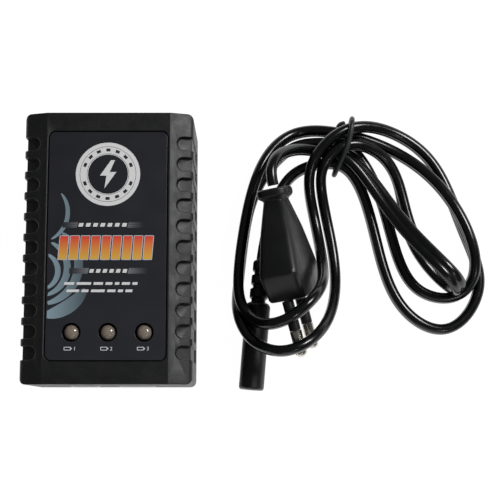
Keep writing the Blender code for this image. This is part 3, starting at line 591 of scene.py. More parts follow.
def label_film(settings):
    """Printed polyester: a slow blend of dark blue-greys under a satin coat, with a faint orange peel."""
    made = Finish("printed_label_film", settings.film, 0.36, Coat_Weight=0.15, Coat_Roughness=0.25)
    low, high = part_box("label_panel")
    blend = made.remap(made.axis("Y"), low[1], high[1])
    made.link("Base Color", made.mix(blend, settings.film, [c * 0.72 for c in settings.film]))
    made.bump(made.noise(0.0012, 2.0), 0.00003, 0.4)
    made.link("Roughness", made.remap(made.noise(0.009), 0.3, 0.7, 0.31, 0.42))
    return made.material


def ink(name, colour):
    """Screen-printed ink: one colour with a slight unevenness and a satin face."""
    made = Finish(name, colour, 0.45)
    made.shaded(made.noise(0.0008), 0.93, 1.05)
    return made.material


def blended_ink(name, first, last, letter, low, high):
    """Ink that changes from one colour to another along an axis."""
    made = Finish(name, first, 0.42)
    share = made.remap(made.axis(letter), low, high)
    made.link("Base Color", made.mix(share, first, last))
    return made.material


def lamp_epoxy(settings):
    """Milky epoxy with a wet gloss; painted shade: the colour is light and warm at the top of the dome and
    darker towards its foot.
    """
    made = Finish("diffused_lamp_epoxy", settings.epoxy, 0.12, Coat_Weight=0.6, Coat_Roughness=0.04)
    made.set("Subsurface Weight", 0.35)
    made.set("Subsurface Radius", (0.0014, 0.0012, 0.001))
    made.set("Subsurface Scale", 1.0)
    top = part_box("led_1")[1][2]
    # painted shade: the dome's colour darkens from its lit top towards its foot
    dome_shade_share = made.remap(made.axis("Z"), top - 0.0022, top)
    made.link("Base Color", made.mix(dome_shade_share, [c * 0.55 for c in settings.epoxy], settings.glow))
    return made.material


def plain_plastic(name, colour, roughness=0.42, pit=0.0004, depth=0.00003):
    """Moulded plastic: fine pits and a slow change of gloss."""
    made = Finish(name, colour, roughness)
    made.bump(made.noise(pit, 2.0), depth, 0.6)
    made.link("Roughness", made.remap(made.noise(0.006), 0.3, 0.7, roughness - 0.06, roughness + 0.06))
    made.shaded(made.noise(0.003), 0.9, 1.12)
    return made.material


def plated(name, colour, roughness=0.2):
    """Drawn and plated metal: fine lines along the pin and a slow tarnish."""
    made = Finish(name, colour, roughness, 1.0)
    made.bump(made.noise(0.00015, 2.0, (1, 0.15, 1)), 0.00001, 0.5)
    made.link("Roughness", made.remap(made.noise(0.002), 0.3, 0.7, roughness - 0.05, roughness + 0.1))
    made.shaded(made.noise(0.0035), 0.82, 1.05)
    return made.material


def cord_sheath(settings):
    """Extruded soft PVC: faint lines along the cord, small scuffs and a satin gloss."""
    made = Finish("flexible_pvc_sheath", settings.sheath, 0.18, Specular_IOR_Level=0.55)
    coordinates = made.node("ShaderNodeUVMap", uv_map="along_cord").outputs[0]
    round_it = made.axis("X", coordinates)
    lines = made.node("ShaderNodeTexNoise", {"Vector": coordinates, "Scale": 60.0, "Detail": 2.0})
    made.bump(lines.outputs[0], 0.000004, 0.1)
    drawn = made.math("SINE", made.math("MULTIPLY", round_it, 60 * math.pi))
    made.bump(drawn, 0.000002, 0.1)
    made.link("Roughness", made.remap(made.noise(0.003), 0.3, 0.7, 0.17, 0.26))
    return made.material


def solder_mask(name, colour):
    """Green mask over copper: raised tracks on a grid, fading into bare mask."""
    made = Finish(name, colour, 0.35, Coat_Weight=0.3, Coat_Roughness=0.2)
    brick = made.node("ShaderNodeTexBrick", {"Vector": made.place(), "Scale": 160.0, "Mortar Size": 0.06})
    brick.inputs["Color1"].default_value = (*[c * 0.8 for c in made.colour], 1)
    brick.inputs["Color2"].default_value = (*[c * 0.95 for c in made.colour], 1)
    brick.inputs["Mortar"].default_value = (*[c * 1.5 for c in made.colour], 1)
    made.link("Base Color", brick.outputs[0])
    made.bump(brick.outputs["Fac"], 0.00003, 0.6)
    return made.material


def wound_wire(name, colour, pitch, letter="Z"):
    """Turns of enamelled wire or tape: even ridges across an axis, with painted shade in the troughs between
    turns and painted highlight on the crests.
    """
    made = Finish(name, colour, 0.3, 0.6)
    ridges = made.math("SINE", made.math("MULTIPLY", made.axis(letter), 2 * math.pi / pitch))
    made.bump(ridges, pitch / 4, 0.8)
    # painted shade and highlight: darker in the troughs between turns, lighter on the crests
    made.shaded(made.remap(ridges, -1, 1), 0.6, 1.15)
    return made.material


def can_sleeve(name, colour, top):
    """A shrunk sleeve up to near the top of a can and bare aluminium on its top."""
    made = Finish(name, colour, 0.3)
    bare = made.remap(made.axis("Z"), top - 0.0006, top - 0.0004)
    made.link("Base Color", made.mix(bare, made.colour, linear("C9CCCE")))
    made.link("Metallic", bare)
    made.bump(made.noise(0.0006), 0.00002, 0.4)
    return made.material


def brushed(name, colour, roughness=0.35):
    """Milled metal: long fine lines along Y."""
    made = Finish(name, colour, roughness, 1.0)
    made.bump(made.noise(0.0002, 3.0, (1, 0.04, 1)), 0.00001, 0.7)
    made.shaded(made.noise(0.0005, 2.0, (1, 0.05, 1)), 0.85, 1.05)
    return made.material


# Operators, one for each piece or group of like pieces


class Maker(bpy.types.Operator):
    """What every maker shares."""

    bl_options = {"REGISTER", "UNDO"}

    def execute(self, context):
        self.make(context.scene)
        return {"FINISHED"}


class CHARGER_OT_case(Maker):
    """Moulded upper and lower shells with softened edges, grooves and wells."""

    bl_idname = "charger.case"
    bl_label = "Case shells"

    def make(self, scene):
        case = scene.charger_case
        plastic = moulded_abs(case)
        for name, node in (("upper_shell", "top_shell"), ("lower_shell", "bottom_shell")):
            softened(name, node, case.edge, plastic, CHARGER)


class CHARGER_OT_label(Maker):
    """Film panel in its recess, holed for the lamps."""

    bl_idname = "charger.label"
    bl_label = "Label film"

    def make(self, scene):
        film = label_film(scene.charger_case)
        softened("label_film_panel", "label_panel", 0.00012, film, CHARGER, 2)


def label_top():
    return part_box("label_panel")[1][2]


def printed(name, mesh, material):
    return finished(name, mesh, material, CHARGER, (), 30)


def ink_levels(scene, layer):
    """Bottom and top of a printed layer, each above the one before."""
    height = scene.charger_print.height
    low = label_top() + 0.000004 + 0.35 * height * layer
    return low, low + height


class CHARGER_OT_badge(Maker):
    """Round white badge: a plain ring with thin dark rules, dashes round it and a bolt in the middle."""

    bl_idname = "charger.badge"
    bl_label = "Badge"

    def make(self, scene):
        white = ink("badge_white_ink", scene.charger_print.white)
        dark = ink("badge_dark_ink", scene.charger_case.film)
        centre = (0.0, 0.0236)
        low, high = ink_levels(scene, 1)
        angle = np.linspace(0, 2 * np.pi, 288, endpoint=False)
        rim, hub = 0.0104, 0.00645
        rings = [
            np.column_stack([around(radius, angle, centre), np.full_like(angle, z)])
            for radius, z in ((rim, low), (rim, high), (hub, high), (hub, low))
        ]
        printed("badge_ring", skin("badge_ring", np.stack(rings), None, False, True), white)

        bolt = [(0.9, 4.6), (-2.6, -0.5), (-0.5, -0.5), (-1.1, -4.7), (2.7, 0.7), (0.55, 0.7), (2.2, 4.6)]
        bolt = np.array(bolt) / 1000 + centre
        printed("badge_bolt", plate("badge_bolt", [bolt], low, high), white)
        low, high = ink_levels(scene, 2)
        rules = []
        for radius in (0.0091, 0.0068):
            rules.append(border("badge_rule", around(radius, angle, centre), 0.00012, low, high))
        sweep = np.linspace(-0.085, 0.085, 6)
        dashes = []
        for number in range(16):
            if number % 8 == 0:
                continue
            turned = 2 * math.pi * number / 16 + sweep
            dashes.append(np.vstack([around(0.00845, turned, centre), around(0.0075, turned[::-1], centre)]))
        mesh = joined("badge_details", [*rules, plate("badge_dashes", dashes, low, high)])
        printed("badge_details", mesh, dark)


def slanted(centre, width, height, lean, radius=0.0001):
    """A parallelogram's outline with slightly rounded corners."""
    x, y = centre
    corners = [
        (x + width / 2 - lean / 2, y - height / 2),
        (x + width / 2 + lean / 2, y + height / 2),
        (x - width / 2 + lean / 2, y + height / 2),
        (x - width / 2 - lean / 2, y - height / 2),
    ]
    return rounded(corners, [radius] * 4, 3)


class CHARGER_OT_level_bars(Maker):
    """Row of slanted bars blended from red-orange down to yellow, each with a silver outline."""

    bl_idname = "charger.level_bars"
    bl_label = "Level bars"

    def make(self, scene):
        style = scene.charger_print
        centre, width, height = (-0.0003, -0.0004), 0.0306, 0.0080
        pitch = width / style.bars
        low, high = ink_levels(scene, 2)
        foot, head = centre[1] - 0.4 * height, centre[1] + 0.4 * height
        warm = blended_ink("warm_blend_ink", style.warm_foot, style.warm_top, "Y", foot, head)
        silver = ink("silver_outline_ink", style.silver)
        dark = ink("bar_shadow_ink", [c * 0.25 for c in scene.charger_case.film])
        places = [(centre[0] + (i - (style.bars - 1) / 2) * pitch, centre[1]) for i in range(style.bars)]
        bars = [slanted(place, pitch - 0.00075, height - 0.0005, 0.0006, 0.00022) for place in places]
        frames = [slanted(place, pitch - 0.0003, height, 0.0006, 0.0003) for place in places]
        shadow = [slanted((x + 0.0002, y - 0.0003), pitch, height, 0.0006, 0.0003) for x, y in places]
        printed("level_bars", plate("level_bars", bars, low, high), warm)
        outlines = [border("level_outline", outline, 0.00022, low, high + 0.000005) for outline in frames]
        printed("level_outlines", joined("level_outlines", outlines), silver)
        low, high = ink_levels(scene, 1)
        printed("level_shadow", plate("level_shadow", shadow, low, low + 0.000008), dark)


class CHARGER_OT_streaks(Maker):
    """Two silver streaks that fade towards their ends, each under a short row of slanted ticks."""

    bl_idname = "charger.streaks"
    bl_label = "Streaks"

    def make(self, scene):
        style = scene.charger_print
        white = ink("tick_white_ink", style.white)
        dark = ink("tick_dark_ink", [c * 0.2 for c in scene.charger_case.film])
        # name, middle, width of the streak, number of ticks and the width that they fill
        rows = (
            ("upper", (-0.0014, 0.0070), 0.0260, 7, 0.0163),
            ("lower", (0.0006, -0.0079), 0.0250, 6, 0.0128),
        )
        for level, centre, width, ticks, run in rows:
            low, high = ink_levels(scene, 0)
            faded = self.faded(scene, level, centre, width / 2)
            outline = rounded_box(width, 0.0018, 0.0002, centre)
            printed(f"streak_{level}", plate(f"streak_{level}", [outline], low, high), faded)
            pitch = run / ticks
            places = [(centre[0] + (i - (ticks - 1) / 2) * pitch, centre[1]) for i in range(ticks)]
            backs = [slanted(place, pitch * 0.98, 0.0019, 0.0005, 0.0001) for place in places]
            fronts = [slanted(place, pitch * 0.62, 0.0012, 0.00035, 0.0001) for place in places]
            low, high = ink_levels(scene, 1)
            printed(f"ticks_back_{level}", plate("ticks_back", backs, low, high), dark)
            low, high = ink_levels(scene, 2)
            printed(f"ticks_{level}", plate("ticks", fronts, low, high), white)

    def faded(self, scene, level, centre, reach):
        """Silver lines along X that fade into the film away from the middle."""
        made = Finish(f"streak_{level}_ink", scene.charger_print.silver, 0.42)
        off = made.math("ABSOLUTE", made.math("SUBTRACT", made.axis("X"), centre[0]))
        share = made.math("POWER", made.remap(off, 0.2 * reach, reach, 0.9, 0.0), 1.4)
        lines = made.math("SINE", made.math("MULTIPLY", made.axis("Y"), 2 * math.pi / 0.0006))
        share = made.math("MULTIPLY", share, made.remap(lines, -1, 1, 0.35, 1.0))
        made.link("Base Color", made.mix(share, scene.charger_case.film, scene.charger_print.silver))
        return made.material


class CHARGER_OT_rows(Maker):
    """Two short rows of white dashes under the bars, where the ratings stand."""

    bl_idname = "charger.rows"
    bl_label = "Rating rows"

    def make(self, scene):
        white = ink("row_white_ink", scene.charger_print.white)
        low, high = ink_levels(scene, 2)
        rows = (
            (-0.0134, -0.01195, (3.2, 4.6, 3.0, 2.2, 1.4, 2.6, 1.6)),
            (-0.0126, -0.0143, (4.0, 2.2, 4.4, 2.6, 1.6, 2.2)),
        )
        outlines = []
        for left, level, lengths in rows:
            for length in lengths:
                length *= 0.001
                outlines.append(slanted((left + length / 2, level), length, 0.00085, 0.0002, 0.0001))
                left += length + 0.0008
        printed("rating_rows", plate("rating_rows", outlines, low, high), white)


class CHARGER_OT_captions(Maker):
    """A small cell sign and its number under each lamp."""

    bl_idname = "charger.captions"
    bl_label = "Lamp captions"

    def make(self, scene):
        white = ink("caption_white_ink", scene.charger_print.white)
        low, high = ink_levels(scene, 1)
        for number in (1, 2, 3):
            x = middle(f"led_{number}").x
            y = middle(f"led_{number}").y - 0.0052
            cell = border("cell", rounded_box(0.0022, 0.0011, 0.0002, (x - 0.0011, y)), 0.0002, low, high)
            nub = plate("nub", [rounded_box(0.00025, 0.0005, 0.00005, (x + 0.00018, y))], low, high)
            numeral = self.digit(str(number), (x + 0.0008, y - 0.00058, low), high - low)
            mesh = joined(f"caption_{number}", [cell, nub, numeral])
            printed(f"caption_{number}", mesh, white)

    def digit(self, text, place, height):
        """A numeral from the built-in typeface, made a mesh and then put in place."""
        curve = bpy.data.curves.new("numeral", "FONT")
        curve.body = text
        curve.size = 0.0017
        curve.extrude = height / 2
        lettering = bpy.data.objects.new("numeral", curve)
        bpy.context.scene.collection.objects.link(lettering)
        graph = bpy.context.evaluated_depsgraph_get()
        mesh = bpy.data.meshes.new_from_object(lettering.evaluated_get(graph))
        bpy.data.objects.remove(lettering)
        mesh.transform(Matrix.Translation((place[0], place[1], place[2] + height / 2)))
        return mesh


class CHARGER_OT_sweeps(Maker):
    """Pale crescents at the left edge of the label that fade towards its middle."""

    bl_idname = "charger.sweeps"
    bl_label = "Sweeping arcs"

    def make(self, scene):
        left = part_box("label_panel")[0][0] + 0.0003
        low, high = ink_levels(scene, -0.6)
        made = Finish("sweep_fading_ink", scene.charger_print.sweep, 0.42)
        share = made.math("POWER", made.remap(made.axis("X"), -0.0195, -0.0035, 1.0, 0.0), 0.9)
        made.link("Base Color", made.mix(share, scene.charger_case.film, scene.charger_print.sweep))
        # middle, radius, greatest width, and the angles in degrees where the arc starts and ends
        crescents = (
            ((-0.0215, -0.0050), 0.0172, 0.0040, -84, -30),
            ((-0.0215, -0.0060), 0.0126, 0.0026, -80, 56),
            ((-0.0215, -0.0070), 0.0090, 0.0020, -76, 66),
            ((-0.0215, -0.0080), 0.0060, 0.0016, -70, 66),
            ((-0.0225, 0.0110), 0.0098, 0.0013, -62, 40),
        )
        outlines = [self.crescent(left, *numbers) for numbers in crescents]
        printed("sweeping_arcs", plate("sweeping_arcs", outlines, low, high), made.material)

    def crescent(self, left, centre, radius, width, start, end):
        """An arc whose width swells as the square root of a sine along it, cut off at the label's edge."""
        share = np.linspace(0, 1, 40)
        angle = np.radians(start + (end - start) * share)
        half = 0.5 * width * (0.12 + np.sqrt(np.sin(np.pi * share)))
        outline = np.vstack([around(radius + half, angle), around(radius - half, angle)[::-1]]) + centre
        return outline[outline[:, 0] > left]


class CHARGER_OT_lamps(Maker):
    """Three domed lamps: an epoxy body on a flange, with two tinned legs down to the board."""

    bl_idname = "charger.lamps"
    bl_label = "Lamps"

    def make(self, scene):
        epoxy = lamp_epoxy(scene.charger_lamp)
        tin = plated("tinned_leg_wire", "C8C6BE", 0.25)
        for number in (1, 2, 3):
            node = f"led_{number}"
            low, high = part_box(node)
            centre = middle(node)
            radius, shoulder, base = 0.0025, high[2] - 0.001875, high[2] - 0.007375
            # dome: an ellipse of the lamp's radius and three quarters of it in height
            angle = np.linspace(0, np.pi / 2, 20)
            dome = [(max(radius * math.sin(a), 1e-6), shoulder + 0.001875 * math.cos(a)) for a in angle]
            foot = [
                (radius, base + 0.00115),
                (0.00265, base + 0.001),
                (0.00275, base + 0.00098),
                (0.0028, base + 0.0009),
                (0.0028, base + 0.0001),
                (0.0027, base),
                (1e-6, base),
            ]
            body = revolve(f"lamp_{number}", dome + foot, Matrix.Translation((centre.x, centre.y, 0)), 72)
            finished(f"lamp_{number}", body, epoxy, CHARGER, (node,))
            places = [(centre.x + side * 0.00127, centre.y) for side in (-1, 1)]
            outlines = [rounded_box(0.0005, 0.0005, 0.0001, place, 2) for place in places]
            legs = plate(f"lamp_legs_{number}", outlines, low[2], base)
            finished(f"lamp_legs_{number}", legs, tin, CHARGER)


class CHARGER_OT_screws(Maker):
    """Four case screws with cross recesses and cut threads."""

    bl_idname = "charger.screws"
    bl_label = "Case screws"

    def make(self, scene):
        steel = plated("zinc_plated_screw", "A9A9A4", 0.3)
        for number in range(1, 5):
            node = f"case_screw_{number}"
            low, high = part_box(node)
            mesh = self.screw(f"screw_{number}", middle(node), low[2], high[2])
            finished(f"screw_{number}", mesh, steel, CHARGER, (node,), 40)

    def screw(self, name, centre, face, tip):
        """Rows run from the middle of the head's face, over its edge and up the shank.

        The cross sinks the face where either coordinate is small, and the thread sinks the shank by a wave
        of height less a turn of angle.
        """
        cols = 48
        angle = np.linspace(0, 2 * np.pi, cols, endpoint=False)
        radius_face = np.r_[1e-6, np.linspace(0.0002, 0.0020, 12)]
        rows = [(r, face + 0.0002 * (r / 0.002) ** 2) for r in radius_face]
        head = ((0.00235, 0.00045), (0.0024, 0.0008), (0.0024, 0.0017), (0.0023, 0.0018))
        rows += [(r, face + rise) for r, rise in head]
        heights = np.arange(face + 0.0019, tip - 0.0012, 0.0002)
        rows += [(0.0013, z) for z in heights] + [(0.0007, tip - 0.0002), (1e-6, tip)]
        radius, height = np.array(rows)[:, :1] * np.ones(cols), np.array(rows)[:, 1:] * np.ones(cols)
        x, y = radius * np.cos(angle), radius * np.sin(angle)
        near = np.minimum(np.abs(x), np.abs(y))
        cross = np.clip((0.00038 - near) / 0.00012, 0, 1) * np.clip((0.0015 - radius) / 0.0003, 0, 1)
        on_face = np.arange(len(rows))[:, None] < len(radius_face)
        height = height + 0.0009 * cross * on_face
        on_shank = (height > heights[0] - 1e-9) & (height < heights[-1] + 1e-9)
        turn = (height / 0.0009 - angle / (2 * np.pi)) % 1
        radius = radius - 0.00026 * np.abs(2 * turn - 1) * on_shank
        points = np.stack([radius * np.cos(angle), radius * np.sin(angle), height], axis=-1)
        return skin(name, points, Matrix.Translation((centre.x, centre.y, 0)))


class CHARGER_OT_sticker(Maker):
    """Blank film sticker under the case, with plain rules and a polarity sign."""

    bl_idname = "charger.sticker"
    bl_label = "Underside sticker"

    def make(self, scene):
        paper = plain_plastic("silvered_sticker", "B9BCC0", 0.38, 0.0009)
        softened("underside_sticker", "rating_sticker", 0.00005, paper, CHARGER)
        dark = ink("sticker_dark_ink", "1A1B1D")
        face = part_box("rating_sticker")[0][2]
        edge = rounded_box(0.0320, 0.0220, 0.0012)
        rules = [border("sticker_edge", edge, 0.00025, face - 0.00003, face - 0.000004)]
        outlines = [
            rounded_box(run, 0.0007, 0.0002, (-0.0145 + run / 2, 0.0075 - 0.003 * i))
            for i, run in enumerate((0.019, 0.016, 0.0175, 0.012, 0.0145))
        ]
        # a plus sign and, below it, a minus sign
        strokes = ((0.0030, 0.0005, 0.0070), (0.0005, 0.0030, 0.0070), (0.0030, 0.0005, -0.0070))
        outlines += [rounded_box(width, height, 0.0001, (0.0115, y)) for width, height, y in strokes]
        rules.append(plate("sticker_marks", outlines, face - 0.00003, face - 0.000004))
        finished("sticker_print", joined("sticker_print", rules), dark, CHARGER, (), 30)


class CHARGER_OT_board(Maker):
    """Circuit board with its mask, and the block parts that stand on it."""

    bl_idname = "charger.board"
    bl_label = "Board and block parts"

    def make(self, scene):
        mask = solder_mask("green_solder_mask", "1F5B34")
        softened("board", "circuit_board", 0.0001, mask, CHARGER)
        black = plain_plastic("epoxy_package", "161718", 0.4)
        for node in ("bridge_rectifier", "mains_fuse", "power_transistor", "optocoupler"):
            softened(f"{node}_package", node, 0.00035, black, CHARGER)
        film = plain_plastic("film_capacitor_case", "B8A13A", 0.35)
        softened("film_capacitor", "suppression_capacitor", 0.0006, film, CHARGER, 3)
        sink = brushed("milled_aluminium", "B9BCBF")
        softened("heat_spreader", "heat_sink", 0.0002, sink, CHARGER)
        ferrite = plain_plastic("sintered_ferrite", "2B2C2E", 0.6, 0.0008, 0.00008)
        softened("ferrite_core", "transformer_core", 0.0004, ferrite, CHARGER)
        softened("winding_spool", "transformer_bobbin", 0.0002, black, CHARGER)
        turns = wound_wire("taped_winding", "C9B037", 0.0006)
        softened("taped_winding", "transformer_winding", 0.0002, turns, CHARGER)


class CHARGER_OT_chips(Maker):
    """Flat packages and chip resistors with their metal ends."""

    bl_idname = "charger.chips"
    bl_label = "Chips"

    def make(self, scene):
        black = plain_plastic("chip_package", "141517", 0.45, 0.0002)
        tin = plated("tinned_lead_frame", "C8C6BE", 0.25)
        for node, legs in (("charge_control_chip", 8), ("balance_control_chip", 7), ("optocoupler", 2)):
            if node != "optocoupler":
                softened(f"{node}_package", node, 0.0002, black, CHARGER)
            mesh = self.legs(f"{node}_legs", node, legs)
            finished(f"{node}_legs", mesh, tin, CHARGER)
        for number in (1, 2, 3):
            node = f"discharge_resistor_{number}"
            softened(f"resistor_{number}", node, 0.00012, black, CHARGER)
            low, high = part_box(node)
            width, across = high[0] - low[0] + 0.0001, (low[0] + high[0]) / 2
            places = [(across, y) for y in (low[1] + 0.0002, high[1] - 0.0002)]
            caps = [rounded_box(width, 0.0006, 0.0001, place) for place in places]
            caps = [plate("end", [cap], low[2], high[2] + 0.00005) for cap in caps]
            ends = joined(f"resistor_ends_{number}", caps)
            finished(f"resistor_ends_{number}", ends, tin, CHARGER)

    def legs(self, name, node, count):
        """Gull-wing legs: one outline in Y and Z, extruded along X and repeated at an even pitch."""
        low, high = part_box(node)
        middle_height = (low[2] + high[2]) / 2
        pitch = (high[0] - low[0] - 0.0012) / max(1, count - 1)
        out, drop, thick = 0.0009, middle_height - low[2], 0.00018
        outline = [(-0.0002, drop), (out * 0.4, drop), (out * 0.6, thick), (out, thick), (out, 0)]
        outline += [(out * 0.5, 0), (out * 0.3, drop - thick), (-0.0002, drop - thick)]
        meshes = []
        for side in (-1, 1):
            edge = high[1] if side > 0 else low[1]
            for i in range(count):
                x = low[0] + 0.0006 + i * pitch
                turn = Matrix(((0, 0, 1, x), (side, 0, 0, edge), (0, 1, 0, low[2]), (0, 0, 0, 1)))
                meshes.append(plate("leg", [outline], -0.0002, 0.0002, turn))
        return joined(name, meshes)


class CHARGER_OT_capacitors(Maker):
    """Electrolytic cans: a rolled neck, a bare top and its scored cross."""

    bl_idname = "charger.capacitors"
    bl_label = "Electrolytic cans"

    def make(self, scene):
        for node in ("bulk_capacitor", "output_capacitor_1", "output_capacitor_2"):
            low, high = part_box(node)
            centre, radius = middle(node), span(node).x / 2
            sleeve = can_sleeve(f"{node}_sleeve", "1D2640", high[2])
            cols = 72
            angle = np.linspace(0, 2 * np.pi, cols, endpoint=False)
            inside = np.linspace(1e-6, radius - 0.0012, 14)
            rows = [(r, high[2] - 0.0003) for r in inside]
            rows += [(radius - 0.0008, high[2]), (radius - 0.0004, high[2]), (radius, high[2] - 0.0005)]
            neck = np.linspace(0, np.pi, 9)
            rows += [(radius - 0.0004 * math.sin(a), low[2] + 0.0018 - 0.001 * a / math.pi) for a in neck]
            rows += [(radius, low[2] + 0.0002), (radius - 0.0002, low[2]), (1e-6, low[2])]
            grid = np.array(rows)
            reach, height = grid[:, :1] * np.ones(cols), grid[:, 1:] * np.ones(cols)
            x, y = reach * np.cos(angle), reach * np.sin(angle)
            score = np.clip((0.00018 - np.minimum(abs(x), abs(y))) / 0.0001, 0, 1) * (reach < radius * 0.75)
            on_top = np.arange(len(rows))[:, None] < len(inside)
            points = np.stack([x, y, height - 0.00015 * score * on_top], axis=-1)
            mesh = skin(f"{node}_can", points, Matrix.Translation((centre.x, centre.y, 0)))
            finished(f"{node}_can", mesh, sleeve, CHARGER, (node,))


def wire(name, points, radius, sides=12):
    """A round wire: path + radius * (side cos a + other sin a) in frames carried without twist."""
    _, side, other = carried_frames(points)
    angle = np.linspace(0, 2 * np.pi, sides, endpoint=False)[None, :, None]
    grid = points[:, None] + radius * (side[:, None] * np.cos(angle) + other[:, None] * np.sin(angle))
    return skin(name, grid)


class CHARGER_OT_choke(Maker):
    """Ring choke: a core and two half windings laid round it."""

    bl_idname = "charger.choke"
    bl_label = "Choke"

    def make(self, scene):
        node = "common_mode_choke"
        centre, size = middle(node), span(node)
        minor = size.z / 2
        major = size.x / 2 - minor
        turn = np.linspace(0, 2 * np.pi, 25)[:-1]
        section = [(major + 0.7 * minor * math.cos(a), centre.z + 0.7 * minor * math.sin(a)) for a in turn]
        place = Matrix.Translation((centre.x, centre.y, 0))
        core = revolve("choke_core", section, place, 72, closed=True)
        ferrite = plain_plastic("coated_ferrite", "2F5A45", 0.45)
        finished("choke_core", core, ferrite, CHARGER, (node,))
        copper = plated("enamelled_copper", "A3592C", 0.25)
        # wire centre: a small circle of the winding's radius, turned many times while it goes half way round
        for number, start in enumerate((0.2, math.pi + 0.2)):
            along = np.linspace(0, 1, 520)
            about, wound = start + along * (math.pi - 0.4), 2 * math.pi * 13 * along
            reach = major + 0.85 * minor * np.cos(wound)
            plan = around(reach, about, (centre.x, centre.y))
            points = np.column_stack([plan, centre.z + 0.85 * minor * np.sin(wound)])
            name = f"choke_winding_{number + 1}"
            finished(name, wire(name, points, 0.14 * minor, 10), copper, CHARGER)


class CHARGER_OT_inlet(Maker):
    """Mains inlet block and its two round-nosed pins."""

    bl_idname = "charger.inlet"
    bl_label = "Mains inlet"

    def make(self, scene):
        black = plain_plastic("inlet_moulding", "18191B", 0.38)
        softened("inlet_block", "mains_inlet", 0.0003, black, CHARGER, 3)
        nickel = plated("inlet_pin_plating", "CFCBC2", 0.2)
        for node in ("inlet_pin_left", "inlet_pin_right"):
            low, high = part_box(node)
            centre, radius = middle(node), span(node).x / 2
            nose = np.linspace(0, np.pi / 2, 10)
            profile = [(max(1e-6, radius * math.sin(a)), high[1] - radius * (1 - math.cos(a))) for a in nose]
            profile += [(radius, low[1] + 0.0002), (radius - 0.0002, low[1]), (1e-6, low[1])]
            turn = Matrix(((1, 0, 0, centre.x), (0, 0, 1, 0), (0, -1, 0, centre.z), (0, 0, 0, 1)))
            mesh = revolve(f"{node}_plated", profile, turn, 32)
            finished(f"{node}_plated", mesh, nickel, CHARGER, (node,))


class CHARGER_OT_sockets(Maker):
    """Balance sockets in natural nylon with their square tinned pins."""

    bl_idname = "charger.sockets"
    bl_label = "Balance sockets"

    def make(self, scene):
        nylon = plain_plastic("natural_nylon", "E3DFD0", 0.42)
        nylon.node_tree.nodes["Principled BSDF"].inputs["Subsurface Weight"].default_value = 0.1
        tin = plated("tinned_socket_pin", "C8C6BE", 0.25)
        for cells, pins in (("2s", 3), ("3s", 4)):
            node = f"balance_socket_{cells}"
            softened(f"socket_{cells}", node, 0.00015, nylon, CHARGER)
            for number in range(1, pins + 1):
                pin = f"balance_pin_{cells}_{number}"
                softened(f"socket_pin_{cells}_{number}", pin, 0.00012, tin, CHARGER, 2)


class CHARGER_OT_cord(Maker):
    """Flat twin cord: two round cores side by side under one sheath, swept along its route."""

    bl_idname = "charger.cord"
    bl_label = "Mains cord"

    def make(self, scene):
        style = scene.charger_lead
        route, along = spline(CORD_ROUTE, style.step)
        points, tilt = route[:, :3], np.radians(route[:, 3])
        wide, thin = tilted_frames(points, tilt, 4)
        across, up = self.section(style.width, style.thickness)
        grid = points[:, None] + wide[:, None] * across[None, :, None] + thin[:, None] * up[None, :, None]
        mesh = skin("mains_flat_cord", grid)
        cols = len(across)
        mapped(mesh, len(points), cols, np.arange(cols) / cols, along)
        cord = finished("mains_flat_cord", mesh, cord_sheath(style), LEAD, ("mains_cord",), 50)
        tie_route, _ = spline(TIE_ROUTE, 0.0008)
        vinyl = plain_plastic("tie_vinyl", "26282A", 0.42)
        tie_mesh = wire("bundle_tie", tie_route, style.tie, 14)
        tie = finished("bundle_tie", tie_mesh, vinyl, LEAD, ("cord_tie",), 60)

    def section(self, width, thickness):
        """Two circles that overlap: each lobe is an arc from the groove on one face to that on the other."""
        radius = thickness / 2
        offset = width / 2 - radius
        open_angle = math.pi - math.acos(offset / radius)
        arc = np.linspace(-open_angle, open_angle, 15)
        lobe = np.column_stack([offset + radius * np.cos(arc), radius * np.sin(arc)])
        outline = np.vstack([lobe, -lobe])
        return outline[:, 0], outline[:, 1]


def plug_frame():
    """The plug's own frame: Z towards the pin tips, Y across the two pins, from the pieces' own centres."""
    upper, lower = middle("plug_pin_upper"), middle("plug_pin_lower")
    across = (upper - lower).normalized()
    sleeve = (middle("plug_sleeve_upper") + middle("plug_sleeve_lower")) / 2
    ahead = ((upper + lower) / 2 - sleeve).normalized()
    ahead = (ahead - across * ahead.dot(across)).normalized()
    side = across.cross(ahead)
    return side, across, ahead


def own_extent(node, direction):
    """Lowest and highest position of a node's vertices along a direction."""
    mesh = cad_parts[node].data
    places = np.zeros(3 * len(mesh.vertices))
    mesh.vertices.foreach_get("co", places)
    along = places.reshape(-1, 3) @ np.array(direction)
    return float(along.min()), float(along.max())


